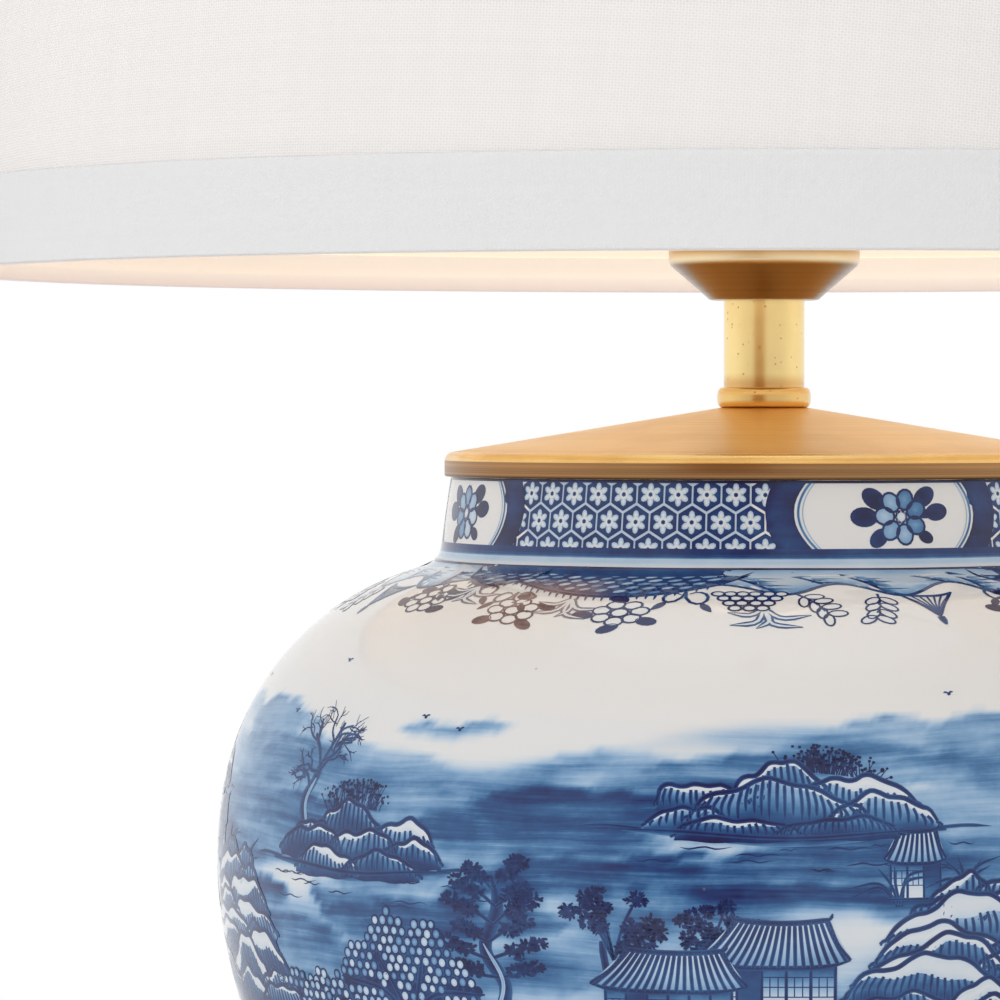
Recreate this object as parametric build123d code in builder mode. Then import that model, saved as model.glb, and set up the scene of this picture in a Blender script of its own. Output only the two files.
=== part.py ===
# Ginger jar table lamp: a hollow ceramic jar on a cast foot, a spun metal cap, a short neck tube with a cup,
# and a large tapered fabric shade that sits between the two rings of a screw-base lampholder.
# Millimetres, +Z up, origin on the lamp's axis at the surface that the lamp stands on.
import os
from math import radians, tan, cos, sin, sqrt

from build123d import *

os.makedirs("parts", exist_ok=True)

# ---------------------------------------------------------------- driving dimensions
# clearances
thread_gap = 0.05  # between a thread's two plain cylinders
slip_gap = 0.3  # loose pieces that are slid together
run_gap = 0.08  # running fits
glue_gap = 0.05  # between bonded layers of the shade

# threaded rod through the whole lamp
rod_radius = 5.0
rod_bore_radius = 3.6
rod_below_nut = 1.0
nut_flats = 17.0
nut_height = 4.5
washer_thickness = 1.5
washer_radius = 16.0
lock_washer_thickness = 1.4
lock_washer_radius = 9.0

# foot
felt_thickness = 2.0
felt_inset = 1.5
board_thickness = 3.0
foot_seat_gap = 1.0  # between the jar's foot and the bead round it
foot_lip_width = 2.9
foot_wall = 3.0
foot_rim_height = 20.0
foot_cove_radius = 6.0
foot_shoulder = 1.6
foot_edge_round = 1.2
foot_bead_radius = 2.4
deck_thickness = 3.5
seat_depth = 3.0  # how far the jar's seat lies below the top of the bead

# bushing for the mains lead, at the back of the foot
bushing_bore_radius = 3.6
bushing_radius = 5.0
bushing_flange_radius = 6.6
bushing_flange_thickness = 2.0
bushing_nut_flats = 13.0
bushing_nut_height = 3.0
bushing_thread_spare = 1.0

# jar
jar_foot_radius = 101.0
jar_foot_ring_width = 9.0
jar_foot_ring_height = 6.0
jar_foot_round = 1.4
jar_height = 328.2
jar_radius = 166.3
jar_belly_height = 208.4
jar_wall = 6.0
jar_floor = 7.0
jar_hole_radius = 6.5
belly_lower_pull = 68.2
foot_pull = 50.0
neck_foot_radius = 98.3
neck_mouth_radius = 94.7
neck_height = 25.7
neck_fillet = 7.3
shoulder_angle = 74.0  # steepest lean of the shoulder, from upright
shoulder_belly_pull = 50.0
shoulder_neck_pull = 36.5
gasket_thickness = 2.0
foot_gasket_width = 7.0
mouth_round = 2.0

# cap
cap_angle = 9.35  # slope of its cone
cap_overhang = 2.6  # the skirt stands out this far past the jar's mouth
cap_sheet = 1.4
cap_skirt_height = 7.0
cap_corner_radius = 1.5
cap_flat_radius = 13.0
mouth_gasket_width = 5.0

# collar, neck tube and cup
collar_radius = 14.25
collar_height = 6.1
collar_foot_height = 1.2
collar_lip_height = 1.0
collar_spigot_height = 4.0
tube_radius = 12.27
tube_wall = 1.5
tube_length = 26.5
cup_floor_radius = 16.3
cup_radius = 29.1
cup_cone_height = 11.1
cup_wall_height = 15.5
cup_sheet = 1.2
cup_corner_radius = 1.2

# lampholder
holder_boss_radius = 9.0
holder_boss_height = 7.0
holder_dome_height = 11.0
holder_cap_skirt = 6.0
holder_radius = 20.0
holder_wall = 1.0
holder_shell_height = 48.0
insert_deck = 1.8  # porcelain between the switch bushing and the screw shell
insert_pocket_depth = 24.0
insert_clearance = 0.4
screw_shell_wall = 0.5
contact_width = 6.0
contact_thickness = 0.6
contact_rise = 2.6
terminal_head_radius = 2.6
terminal_head_height = 1.6
terminal_spacing = 20.0
ring_radius = 27.0
ring_thickness = 2.4
upper_ring_flange = 1.6
upper_ring_collar_wall = 2.4
upper_ring_height = 6.0
upper_ring_grips = 24
upper_ring_grip_radius = 0.9
ring_below_holder_top = 15.5

# switch on the lampholder
spindle_radius = 2.0
spindle_depth = 9.0  # its reach into the insert
switch_bushing_radius = 4.0
switch_bushing_length = 5.0
switch_flange_radius = 5.2
switch_flange_thickness = 1.2
switch_above_skirt = 0.5
knob_radius = 6.0
knob_length = 11.0
knob_gap = 1.0
knob_socket_depth = 6.0
knob_flutes = 12
knob_flute_radius = 0.9
knob_round = 0.8

# bulb
bulb_cap_radius = 13.2
bulb_cap_height = 21.0
bulb_cap_sheet = 0.5
bulb_insulator_height = 3.5
bulb_insulator_radius = 10.5
bulb_contact_radius = 4.8
bulb_contact_height = 1.6
bulb_collar_height = 26.0
bulb_collar_throat = 14.0
bulb_collar_mouth = 27.5
bulb_globe_radius = 30.0
bulb_globe_wall = 1.2
bulb_length = 106.0
bulb_thread_gap = 0.1

# shade
shade_radius = 250.0  # outside of the trim at the lower edge
shade_height = 300.0
shade_taper = 6.1  # lean of the wall, in degrees
shade_drop = 53.5  # lower edge below the fitter ring
liner_thickness = 0.8
fabric_thickness = 0.7
trim_thickness = 0.7
trim_height = 26.0
trim_inside_height = 12.0
wire_radius = 2.0
fitter_thickness = 2.0
fitter_radius = 31.0
arm_level_length = 34.0
arm_bend_radius = 12.0
arm_count = 3

# ---------------------------------------------------------------- heights that follow from them
seat_radius = jar_foot_radius + foot_seat_gap
bead_centre = seat_radius + foot_lip_width
cove_outer = bead_centre + foot_cove_radius
foot_radius = cove_outer + foot_shoulder
foot_bottom = felt_thickness
rim_top = foot_bottom + foot_rim_height
bead_middle = rim_top + foot_cove_radius + foot_bead_radius
foot_top = bead_middle + foot_bead_radius
seat = foot_top - seat_depth
deck_underside = seat - deck_thickness
jar_bottom = seat + gasket_thickness
belly = jar_bottom + jar_belly_height
jar_top = jar_bottom + jar_height
jar_inside_floor = jar_bottom + jar_foot_ring_height + jar_floor

cap_slope = tan(radians(cap_angle))
cap_radius = neck_mouth_radius + cap_overhang
mouth_gasket_outer = neck_mouth_radius - mouth_round
mouth_gasket_inner = mouth_gasket_outer - mouth_gasket_width
cap_sheet_rise = cap_sheet / cos(radians(cap_angle))
# height of the cap's upper surface where its cone meets the flat seat of the collar
cap_seat = jar_top + gasket_thickness + cap_sheet_rise + (mouth_gasket_outer - cap_flat_radius) * cap_slope
cap_rim_top = cap_seat - (cap_radius - cap_flat_radius) * cap_slope
cap_rim_bottom = cap_rim_top - cap_skirt_height
collar_top = cap_seat + collar_height
tube_top = collar_top + tube_length
cup_floor = tube_top + cup_sheet
cup_cone_top = tube_top + cup_cone_height
cup_top = cup_cone_top + cup_wall_height
cup_nut_bottom = cup_floor + washer_thickness
holder_bottom = cup_nut_bottom + nut_height
dome_bottom = holder_bottom + holder_boss_height
dome_top = dome_bottom + holder_dome_height
shell_bottom = dome_top
shell_top = shell_bottom + holder_shell_height
ring_seat = shell_top - ring_below_holder_top
fitter_bottom = ring_seat + ring_thickness + slip_gap
fitter_top = fitter_bottom + fitter_thickness
fitter_middle = (fitter_bottom + fitter_top) / 2
upper_ring_bottom = fitter_top + slip_gap
shade_bottom = fitter_middle - shade_drop
shade_top = shade_bottom + shade_height

rod_bottom = deck_underside - washer_thickness - lock_washer_thickness - nut_height - rod_below_nut
rod_top = dome_bottom
insert_bottom = shell_bottom + slip_gap
switch_height = shell_bottom + holder_cap_skirt + switch_above_skirt + switch_bushing_radius
insert_floor = switch_height + switch_bushing_radius + insert_clearance + insert_deck
insert_radius = holder_radius - holder_wall - insert_clearance
screw_shell_inner = bulb_cap_radius + bulb_thread_gap
screw_shell_outer = screw_shell_inner + screw_shell_wall
bulb_bottom = insert_floor + contact_rise

shade_lean = tan(radians(shade_taper))
across_wall = 1 / cos(radians(shade_taper))


def hex_radius(flats):
    """Corner radius of a hexagon from the size across its flats."""
    return flats / sqrt(3)


def ring(outer, inner, bottom, top):
    """Draws a flat ring between two heights in the part being built."""
    with BuildSketch(Plane.XY.offset(bottom)) as section:
        Circle(outer)
        if inner > 0:
            Circle(inner, mode=Mode.SUBTRACT)
    extrude(section.sketch, amount=top - bottom)


def shade_wall(depth, height):
    """Radius of the shade's wall at a height, at a depth under the outside of the trim."""
    return shade_radius - depth * across_wall - (height - shade_bottom) * shade_lean


def cone_layer(depth, thickness, bottom, top):
    """Draws one layer of the shade's tapered wall in the part being built."""
    with BuildSketch(Plane.XZ) as section:
        with BuildLine():
            Polyline(
                (shade_wall(depth, bottom), bottom),
                (shade_wall(depth, top), top),
                (shade_wall(depth + thickness, top), top),
                (shade_wall(depth + thickness, bottom), bottom),
                close=True,
            )
        make_face()
    revolve(section.sketch, axis=Axis.Z)


# ---------------------------------------------------------------- foot
# Felt disc that the lamp stands on
with BuildPart() as felt_pad:
    ring(foot_radius - felt_inset, 0, 0, felt_thickness)
felt_pad.part.label = "felt_pad"

# Fibreboard disc that closes the hollow foot and carries the felt
board_radius = foot_radius - foot_wall - slip_gap
with BuildPart() as bottom_board:
    ring(board_radius, 0, foot_bottom, foot_bottom + board_thickness)
bottom_board.part.label = "bottom_board"

# Cast foot: a plain rim, a cove and a bead round the jar's seat, hollow underneath
with BuildPart() as foot:
    with BuildSketch(Plane.XZ):
        with BuildLine():
            Polyline(
                (0, deck_underside),
                (seat_radius - foot_wall, deck_underside),
                (seat_radius - foot_wall, rim_top - foot_wall),
                (foot_radius - foot_wall, rim_top - foot_wall),
                (foot_radius - foot_wall, foot_bottom),
                (foot_radius, foot_bottom),
                (foot_radius, rim_top),
                (cove_outer, rim_top),
            )
            RadiusArc((cove_outer, rim_top), (bead_centre, rim_top + foot_cove_radius), foot_cove_radius)
            RadiusArc(
                (bead_centre, bead_middle - foot_bead_radius),
                (bead_centre, bead_middle + foot_bead_radius),
                -foot_bead_radius,
            )
            Polyline(
                (bead_centre, foot_top),
                (seat_radius, foot_top),
                (seat_radius, seat),
                (0, seat),
                (0, deck_underside),
            )
        make_face()
    revolve(axis=Axis.Z)
    rim_edge = foot.edges().filter_by(GeomType.CIRCLE).filter_by(
        lambda e: abs(e.radius - foot_radius) < 0.01 and e.center().Z > rim_top - 0.01
    )
    fillet(rim_edge, foot_edge_round)
    with BuildSketch(Plane.XY.offset(deck_underside)):
        Circle(rod_radius + slip_gap)
    extrude(amount=deck_thickness, mode=Mode.SUBTRACT)
    # hole for the bushing of the mains lead, through the rim at the back
    bushing_height = foot_bottom + board_thickness + (foot_rim_height - foot_wall - board_thickness) / 2
    with BuildSketch(Plane.XZ.offset(-foot_radius)):
        with Locations((0, bushing_height)):
            Circle(bushing_radius + thread_gap)
    extrude(amount=2 * foot_wall, both=True, mode=Mode.SUBTRACT)
foot.part.label = "foot"

# Bushing that the mains lead comes out of, with its nut inside the foot
bushing_face = foot_radius + bushing_flange_thickness
bushing_inner_end = foot_radius - foot_wall - bushing_nut_height - bushing_thread_spare
with BuildPart() as cord_bushing:
    with BuildSketch(Plane.XZ.offset(-foot_radius)):
        with Locations((0, bushing_height)):
            Circle(bushing_flange_radius)
    extrude(amount=-bushing_flange_thickness)
    with BuildSketch(Plane.XZ.offset(-bushing_inner_end)):
        with Locations((0, bushing_height)):
            Circle(bushing_radius)
    extrude(amount=bushing_inner_end - foot_radius)
    with BuildSketch(Plane.XZ.offset(-bushing_inner_end)):
        with Locations((0, bushing_height)):
            Circle(bushing_bore_radius)
    extrude(amount=bushing_inner_end - bushing_face, mode=Mode.SUBTRACT)
    mouth = cord_bushing.edges().filter_by(GeomType.CIRCLE).filter_by(
        lambda e: abs(e.radius - bushing_flange_radius) < 0.01
    )
    fillet(mouth.sort_by(Axis.Y)[-1], bushing_flange_thickness / 3)
cord_bushing.part.label = "cord_bushing"

# the nut's flat face lies against the round wall at its two outer corners
nut_face = sqrt((foot_radius - foot_wall) ** 2 - hex_radius(bushing_nut_flats) ** 2)
with BuildPart() as bushing_nut:
    with BuildSketch(Plane.XZ.offset(-nut_face)):
        with Locations((0, bushing_height)):
            RegularPolygon(hex_radius(bushing_nut_flats), 6)
            Circle(bushing_radius + thread_gap, mode=Mode.SUBTRACT)
    extrude(amount=bushing_nut_height)
bushing_nut.part.label = "bushing_nut"

# ---------------------------------------------------------------- rod and what clamps the jar
with BuildPart() as threaded_rod:
    ring(rod_radius, rod_bore_radius, rod_bottom, rod_top)
threaded_rod.part.label = "threaded_rod"

lower_washer_bottom = deck_underside - washer_thickness
with BuildPart() as lower_washer:
    ring(washer_radius, rod_radius + slip_gap, lower_washer_bottom, deck_underside)
lower_washer.part.label = "lower_washer"

lock_washer_bottom = lower_washer_bottom - lock_washer_thickness
with BuildPart() as lock_washer:
    ring(lock_washer_radius, rod_radius + slip_gap, lock_washer_bottom, lower_washer_bottom)
lock_washer.part.label = "lock_washer"

with BuildPart() as lower_nut:
    with BuildSketch(Plane.XY.offset(lock_washer_bottom - nut_height)):
        RegularPolygon(hex_radius(nut_flats), 6)
        Circle(rod_radius + thread_gap, mode=Mode.SUBTRACT)
    extrude(amount=nut_height)
lower_nut.part.label = "lower_nut"

with BuildPart() as foot_gasket:
    ring(
        jar_foot_radius - jar_foot_round,
        jar_foot_radius - jar_foot_round - foot_gasket_width,
        seat,
        jar_bottom,
    )
foot_gasket.part.label = "foot_gasket"

# ---------------------------------------------------------------- jar
# The outline climbs from the foot through the belly and the shoulder to the small fillet under the neck.
neck_lean = (neck_foot_radius - neck_mouth_radius) / neck_height
neck_root = jar_top - neck_height
shoulder_out = sin(radians(shoulder_angle))
shoulder_up = cos(radians(shoulder_angle))
neck_out = neck_lean / sqrt(1 + neck_lean**2)
neck_up = 1 / sqrt(1 + neck_lean**2)


def jar_outline(inset):
    """The jar's side, foot to mouth, drawn at a distance inside its glazed surface."""
    fillet_radius = neck_fillet + inset
    # centre of the fillet circle, which lies outside the jar, beside the neck
    centre_r = neck_foot_radius + neck_fillet * neck_up
    centre_z = neck_root + neck_fillet * neck_out
    shoulder_end = (centre_r - fillet_radius * shoulder_up, centre_z - fillet_radius * shoulder_out)
    neck_start = (centre_r - fillet_radius * neck_up, centre_z - fillet_radius * neck_out)
    mouth_r = neck_start[0] - (jar_top - neck_start[1]) * neck_lean
    widest = (jar_radius - inset, belly)
    base_z = jar_inside_floor if inset else jar_bottom + jar_foot_ring_height
    base = (jar_foot_radius - inset, base_z)
    Bezier(
        base,
        (base[0], base[1] + foot_pull),
        (widest[0], widest[1] - belly_lower_pull),
        widest,
    )
    Bezier(
        widest,
        (widest[0], widest[1] + shoulder_belly_pull),
        (
            shoulder_end[0] + shoulder_neck_pull * shoulder_out,
            shoulder_end[1] - shoulder_neck_pull * shoulder_up,
        ),
        shoulder_end,
    )
    RadiusArc(shoulder_end, neck_start, fillet_radius)
    Line(neck_start, (mouth_r, jar_top))
    return base, (mouth_r, jar_top)


with BuildPart() as jar:
    with BuildSketch(Plane.XZ):
        with BuildLine():
            base, mouth = jar_outline(0)
            Polyline(
                base,
                (jar_foot_radius, jar_bottom),
                (jar_foot_radius - jar_foot_ring_width, jar_bottom),
                (jar_foot_radius - jar_foot_ring_width - jar_foot_ring_height / 2, jar_bottom + jar_foot_ring_height),
                (jar_hole_radius, jar_bottom + jar_foot_ring_height),
                (jar_hole_radius, jar_inside_floor),
            )
            inner_base, inner_mouth = jar_outline(jar_wall)
            Line((jar_hole_radius, jar_inside_floor), inner_base)
            Line(inner_mouth, mouth)
        make_face()
    revolve(axis=Axis.Z)
    foot_edges = jar.edges().filter_by(GeomType.CIRCLE).filter_by(
        lambda e: abs(e.center().Z - jar_bottom) < 0.01
    )
    fillet(foot_edges, jar_foot_round)
    mouth_edge = jar.edges().filter_by(GeomType.CIRCLE).filter_by(
        lambda e: abs(e.center().Z - jar_top) < 0.01
    ).sort_by(SortBy.RADIUS)[-1]
    fillet(mouth_edge, mouth_round)
jar.part.label = "jar"

# Rubber ring between the jar's mouth and the underside of the cap, cut to the cap's slope
mouth_gasket_gap = glue_gap
with BuildPart() as mouth_gasket:
    gasket_rise = mouth_gasket_width * cap_slope
    with BuildSketch(Plane.XZ):
        with BuildLine():
            Polyline(
                (mouth_gasket_outer, jar_top),
                (mouth_gasket_outer, jar_top + gasket_thickness - mouth_gasket_gap),
                (mouth_gasket_inner, jar_top + gasket_thickness + gasket_rise - mouth_gasket_gap),
                (mouth_gasket_inner, jar_top),
                close=True,
            )
        make_face()
    revolve(axis=Axis.Z)
mouth_gasket.part.label = "mouth_gasket"

# ---------------------------------------------------------------- cap
# Spun sheet: a flat seat for the collar, a shallow cone, a rounded corner and a short upright skirt
with BuildPart() as cap:
    with BuildSketch(Plane.XZ):
        with BuildLine():
            Polyline(
                (rod_radius + slip_gap, cap_seat),
                (cap_flat_radius, cap_seat),
                (cap_radius, cap_rim_top),
                (cap_radius, cap_rim_bottom),
                (cap_radius - cap_sheet, cap_rim_bottom),
                (cap_radius - cap_sheet, cap_rim_top - cap_sheet_rise + cap_sheet * cap_slope),
                (cap_flat_radius, cap_seat - cap_sheet_rise),
                (rod_radius + slip_gap, cap_seat - cap_sheet_rise),
                close=True,
            )
        make_face()
    revolve(axis=Axis.Z)
    corner = cap.edges().filter_by(GeomType.CIRCLE).filter_by(
        lambda e: abs(e.radius - cap_radius) < 0.01 and abs(e.center().Z - cap_rim_top) < 0.01
    )
    fillet(corner, cap_corner_radius)
    hem = cap.edges().filter_by(GeomType.CIRCLE).filter_by(
        lambda e: abs(e.radius - cap_radius) < 0.01 and abs(e.center().Z - cap_rim_bottom) < 0.01
    )
    fillet(hem, cap_sheet / 3)
cap.part.label = "cap"

# ---------------------------------------------------------------- collar, neck tube and cup
tube_inner = tube_radius - tube_wall
# Turned collar: a small foot, a rounded belly and a lip, with a spigot that centres the tube
collar_belly_bottom = cap_seat + collar_foot_height
collar_belly_top = collar_top - collar_lip_height
with BuildPart() as collar:
    with BuildSketch(Plane.XZ):
        with BuildLine():
            Polyline(
                (tube_radius, collar_belly_top),
                (tube_radius, collar_top),
                (tube_inner - slip_gap / 2, collar_top),
                (tube_inner - slip_gap / 2, collar_top + collar_spigot_height),
                (rod_radius + slip_gap, collar_top + collar_spigot_height),
                (rod_radius + slip_gap, cap_seat),
                (cap_flat_radius, cap_seat),
                (cap_flat_radius, collar_belly_bottom),
            )
            ThreePointArc(
                (cap_flat_radius, collar_belly_bottom),
                (collar_radius, (collar_belly_bottom + collar_belly_top) / 2),
                (tube_radius, collar_belly_top),
            )
        make_face()
    revolve(axis=Axis.Z)
collar.part.label = "collar"

with BuildPart() as neck_tube:
    ring(tube_radius, tube_inner, collar_top, tube_top)
neck_tube.part.label = "neck_tube"

# Spun cup round the foot of the lampholder: flat floor, short cone and upright wall
cup_cone_angle = (cup_radius - cup_floor_radius) / cup_cone_height
cup_flank = sqrt(1 + cup_cone_angle**2)
# where the inside of the cone meets the floor and the wall, one sheet in from the outside
cup_inner_foot = cup_floor_radius + cup_sheet * cup_cone_angle - cup_sheet * cup_flank
cup_inner_knee = cup_cone_top + (cup_sheet * cup_flank - cup_sheet) / cup_cone_angle
with BuildPart() as cup:
    with BuildSketch(Plane.XZ):
        with BuildLine():
            Polyline(
                (rod_radius + slip_gap, tube_top),
                (cup_floor_radius, tube_top),
                (cup_radius, cup_cone_top),
                (cup_radius, cup_top),
                (cup_radius - cup_sheet, cup_top),
                (cup_radius - cup_sheet, cup_inner_knee),
                (cup_inner_foot, cup_floor),
                (rod_radius + slip_gap, cup_floor),
                close=True,
            )
        make_face()
    revolve(axis=Axis.Z)
    knee = cup.edges().filter_by(GeomType.CIRCLE).filter_by(
        lambda e: abs(e.radius - cup_radius) < 0.01 and abs(e.center().Z - cup_cone_top) < 0.01
    )
    fillet(knee, cup_corner_radius)
    cup_lip = cup.edges().filter_by(GeomType.CIRCLE).filter_by(
        lambda e: abs(e.center().Z - cup_top) < 0.01
    )
    fillet(cup_lip, cup_sheet / 3)
cup.part.label = "cup"

with BuildPart() as cup_washer:
    ring(cup_inner_foot - slip_gap, rod_radius + slip_gap, cup_floor, cup_nut_bottom)
cup_washer.part.label = "cup_washer"

with BuildPart() as cup_nut:
    with BuildSketch(Plane.XY.offset(cup_nut_bottom)):
        RegularPolygon(hex_radius(nut_flats), 6)
        Circle(rod_radius + thread_gap, mode=Mode.SUBTRACT)
    extrude(amount=nut_height)
cup_nut.part.label = "cup_nut"

# ---------------------------------------------------------------- lampholder
# Domed cap that screws onto the rod, with a skirt inside the shell
skirt_outer = holder_radius - holder_wall - thread_gap
with BuildPart() as holder_cap:
    with BuildSketch(Plane.XZ):
        with BuildLine():
            Polyline(
                (rod_radius + thread_gap, dome_bottom + holder_wall),
                (rod_radius + thread_gap, holder_bottom),
                (holder_boss_radius, holder_bottom),
                (holder_boss_radius, dome_bottom),
            )
            EllipticalCenterArc(
                (holder_boss_radius, dome_top),
                holder_radius - holder_boss_radius,
                holder_dome_height,
                start_angle=270,
                arc_size=90,
            )
            Polyline(
                (holder_radius, dome_top),
                (skirt_outer, dome_top),
                (skirt_outer, dome_top + holder_cap_skirt),
                (skirt_outer - holder_wall, dome_top + holder_cap_skirt),
                (skirt_outer - holder_wall, dome_top),
            )
            EllipticalCenterArc(
                (holder_boss_radius, dome_top),
                skirt_outer - holder_wall - holder_boss_radius,
                holder_dome_height - holder_wall,
                start_angle=270,
                arc_size=90,
            )
            Line(
                (holder_boss_radius, dome_bottom + holder_wall),
                (rod_radius + thread_gap, dome_bottom + holder_wall),
            )
        make_face()
    revolve(axis=Axis.Z)
holder_cap.part.label = "holder_cap"

# Outer shell, with the hole for the switch bushing on its right side
switch_plane = Plane.YZ.offset(holder_radius)
with BuildPart() as holder_shell:
    ring(holder_radius, holder_radius - holder_wall, shell_bottom, shell_top)
    with BuildSketch(switch_plane):
        with Locations((0, switch_height)):
            Circle(switch_bushing_radius + thread_gap)
    extrude(amount=2 * holder_wall, both=True, mode=Mode.SUBTRACT)
holder_shell.part.label = "holder_shell"

# Porcelain insert: a base that houses the switch, and a cup round the screw shell
insert_wall_bottom = max(insert_bottom, dome_top + holder_cap_skirt + slip_gap)
base_radius = skirt_outer - holder_wall - insert_clearance
with BuildPart() as holder_insert:
    ring(base_radius, 0, insert_bottom, insert_wall_bottom)
    ring(insert_radius, 0, insert_wall_bottom, insert_floor)
    ring(insert_radius, screw_shell_outer + thread_gap, insert_floor, insert_floor + insert_pocket_depth)
    # bore of the switch spindle, and the recess behind its bushing
    with BuildSketch(switch_plane):
        with Locations((0, switch_height)):
            Circle(spindle_radius + run_gap)
    extrude(amount=-(holder_radius - insert_radius + spindle_depth), mode=Mode.SUBTRACT)
    with BuildSketch(switch_plane):
        with Locations((0, switch_height)):
            Circle(switch_bushing_radius + insert_clearance)
    extrude(amount=-(switch_bushing_length - slip_gap), mode=Mode.SUBTRACT)
    # pockets of the two terminal screws, under the base
    with BuildSketch(Plane.XY.offset(insert_bottom)):
        with Locations((0, terminal_spacing / 2), (0, -terminal_spacing / 2)):
            Circle(terminal_head_radius + slip_gap)
    extrude(amount=2 * terminal_head_height, mode=Mode.SUBTRACT)
holder_insert.part.label = "holder_insert"

# Two terminal screws, seated in their pockets
with BuildPart() as terminal_screws:
    terminal_seat = insert_bottom + 2 * terminal_head_height
    with BuildSketch(Plane.XY.offset(terminal_seat - terminal_head_height)):
        with Locations((0, terminal_spacing / 2), (0, -terminal_spacing / 2)):
            Circle(terminal_head_radius)
    extrude(amount=terminal_head_height)
terminal_screws.part.label = "terminal_screws"

# Screw shell that the bulb turns into, with a floor round the centre contact
screw_shell_height = insert_pocket_depth - slip_gap
contact_opening = contact_width / 2 + 2 * screw_shell_wall
with BuildPart() as screw_shell:
    ring(screw_shell_outer, contact_opening + contact_width, insert_floor, insert_floor + screw_shell_wall)
    ring(screw_shell_outer, screw_shell_inner, insert_floor, insert_floor + screw_shell_height)
screw_shell.part.label = "screw_shell"

# Sprung centre contact: a foot on the porcelain and a tongue raised to the bulb
contact_half = contact_opening
contact_top = bulb_bottom - thread_gap
with BuildPart() as centre_contact:
    with BuildSketch(Plane.XZ.offset(-contact_width / 2)):
        with BuildLine():
            Polyline(
                (-contact_half, insert_floor),
                (contact_half, insert_floor),
                (contact_half, insert_floor + contact_thickness),
                (contact_thickness - contact_half / 2, insert_floor + contact_thickness),
                (contact_thickness * 2 - contact_half / 2, contact_top - contact_thickness),
                (contact_half / 2, contact_top - contact_thickness),
                (contact_half / 2, contact_top),
                (-contact_half / 2, contact_top),
                (-contact_half / 2 - contact_thickness, insert_floor + contact_thickness),
                (-contact_half, insert_floor + contact_thickness),
                close=True,
            )
        make_face()
    extrude(amount=contact_width)
centre_contact.part.label = "centre_contact"

# Lower and upper ring on the shell's thread, which hold the shade between them
with BuildPart() as lower_shade_ring:
    ring(ring_radius, holder_radius + thread_gap, ring_seat, ring_seat + ring_thickness)
    fillet(lower_shade_ring.faces().sort_by(Axis.Z)[0].edges().sort_by(SortBy.RADIUS)[-1], ring_thickness / 3)
lower_shade_ring.part.label = "lower_shade_ring"

upper_ring_collar = holder_radius + thread_gap + upper_ring_collar_wall
with BuildPart() as upper_shade_ring:
    ring(ring_radius, holder_radius + thread_gap, upper_ring_bottom, upper_ring_bottom + upper_ring_flange)
    ring(upper_ring_collar, holder_radius + thread_gap, upper_ring_bottom, upper_ring_bottom + upper_ring_height)
    with BuildSketch(Plane.XY.offset(upper_ring_bottom + upper_ring_flange)):
        with PolarLocations(upper_ring_collar, upper_ring_grips):
            Circle(upper_ring_grip_radius)
    extrude(amount=upper_ring_height, mode=Mode.SUBTRACT)
upper_shade_ring.part.label = "upper_shade_ring"

# ---------------------------------------------------------------- switch
bushing_back = holder_radius + switch_flange_thickness - switch_bushing_length
with BuildPart() as switch_bushing:
    with BuildSketch(Plane.YZ.offset(bushing_back)):
        with Locations((0, switch_height)):
            Circle(switch_bushing_radius)
    extrude(amount=holder_radius - bushing_back)
    with BuildSketch(switch_plane):
        with Locations((0, switch_height)):
            RegularPolygon(hex_radius(2 * switch_flange_radius), 6)
    extrude(amount=switch_flange_thickness)
    with BuildSketch(Plane.YZ.offset(bushing_back)):
        with Locations((0, switch_height)):
            Circle(spindle_radius + run_gap)
    extrude(amount=switch_bushing_length, mode=Mode.SUBTRACT)
switch_bushing.part.label = "switch_bushing"

knob_start = holder_radius + switch_flange_thickness + knob_gap
spindle_start = insert_radius - spindle_depth + slip_gap
with BuildPart() as switch_spindle:
    with BuildSketch(Plane.YZ.offset(spindle_start)):
        with Locations((0, switch_height)):
            Circle(spindle_radius)
    extrude(amount=knob_start + knob_socket_depth - spindle_start)
switch_spindle.part.label = "switch_spindle"

with BuildPart() as switch_knob:
    with BuildSketch(Plane.YZ.offset(knob_start)):
        with Locations((0, switch_height)):
            Circle(knob_radius)
            with PolarLocations(knob_radius, knob_flutes):
                Circle(knob_flute_radius, mode=Mode.SUBTRACT)
    extrude(amount=knob_length)
    with BuildSketch(Plane.YZ.offset(knob_start)):
        with Locations((0, switch_height)):
            Circle(spindle_radius + thread_gap)
    extrude(amount=knob_socket_depth + thread_gap, mode=Mode.SUBTRACT)
    chamfer(switch_knob.faces().sort_by(Axis.X)[-1].edges(), knob_round / 2)
switch_knob.part.label = "switch_knob"

# ---------------------------------------------------------------- bulb
insulator_bottom = bulb_bottom + bulb_contact_height
bulb_cap_bottom = insulator_bottom + bulb_insulator_height
bulb_cap_top = bulb_cap_bottom + bulb_cap_height
bulb_top = bulb_bottom + bulb_length
globe_centre = bulb_top - bulb_globe_radius
collar_mouth_height = bulb_cap_top + bulb_collar_height

with BuildPart() as bulb_contact:
    ring(bulb_contact_radius, 0, bulb_bottom, insulator_bottom)
    fillet(bulb_contact.faces().sort_by(Axis.Z)[0].edges(), bulb_contact_height / 2)
bulb_contact.part.label = "bulb_contact"

# Glass insulator: a short cone between the contact and the screw cap
with BuildPart() as bulb_insulator:
    with BuildSketch(Plane.XZ):
        with BuildLine():
            Polyline(
                (0, insulator_bottom),
                (bulb_contact_radius + bulb_insulator_height / 4, insulator_bottom),
                (bulb_insulator_radius, bulb_cap_bottom),
                (0, bulb_cap_bottom),
                close=True,
            )
        make_face()
    revolve(axis=Axis.Z)
bulb_insulator.part.label = "bulb_insulator"

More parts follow.
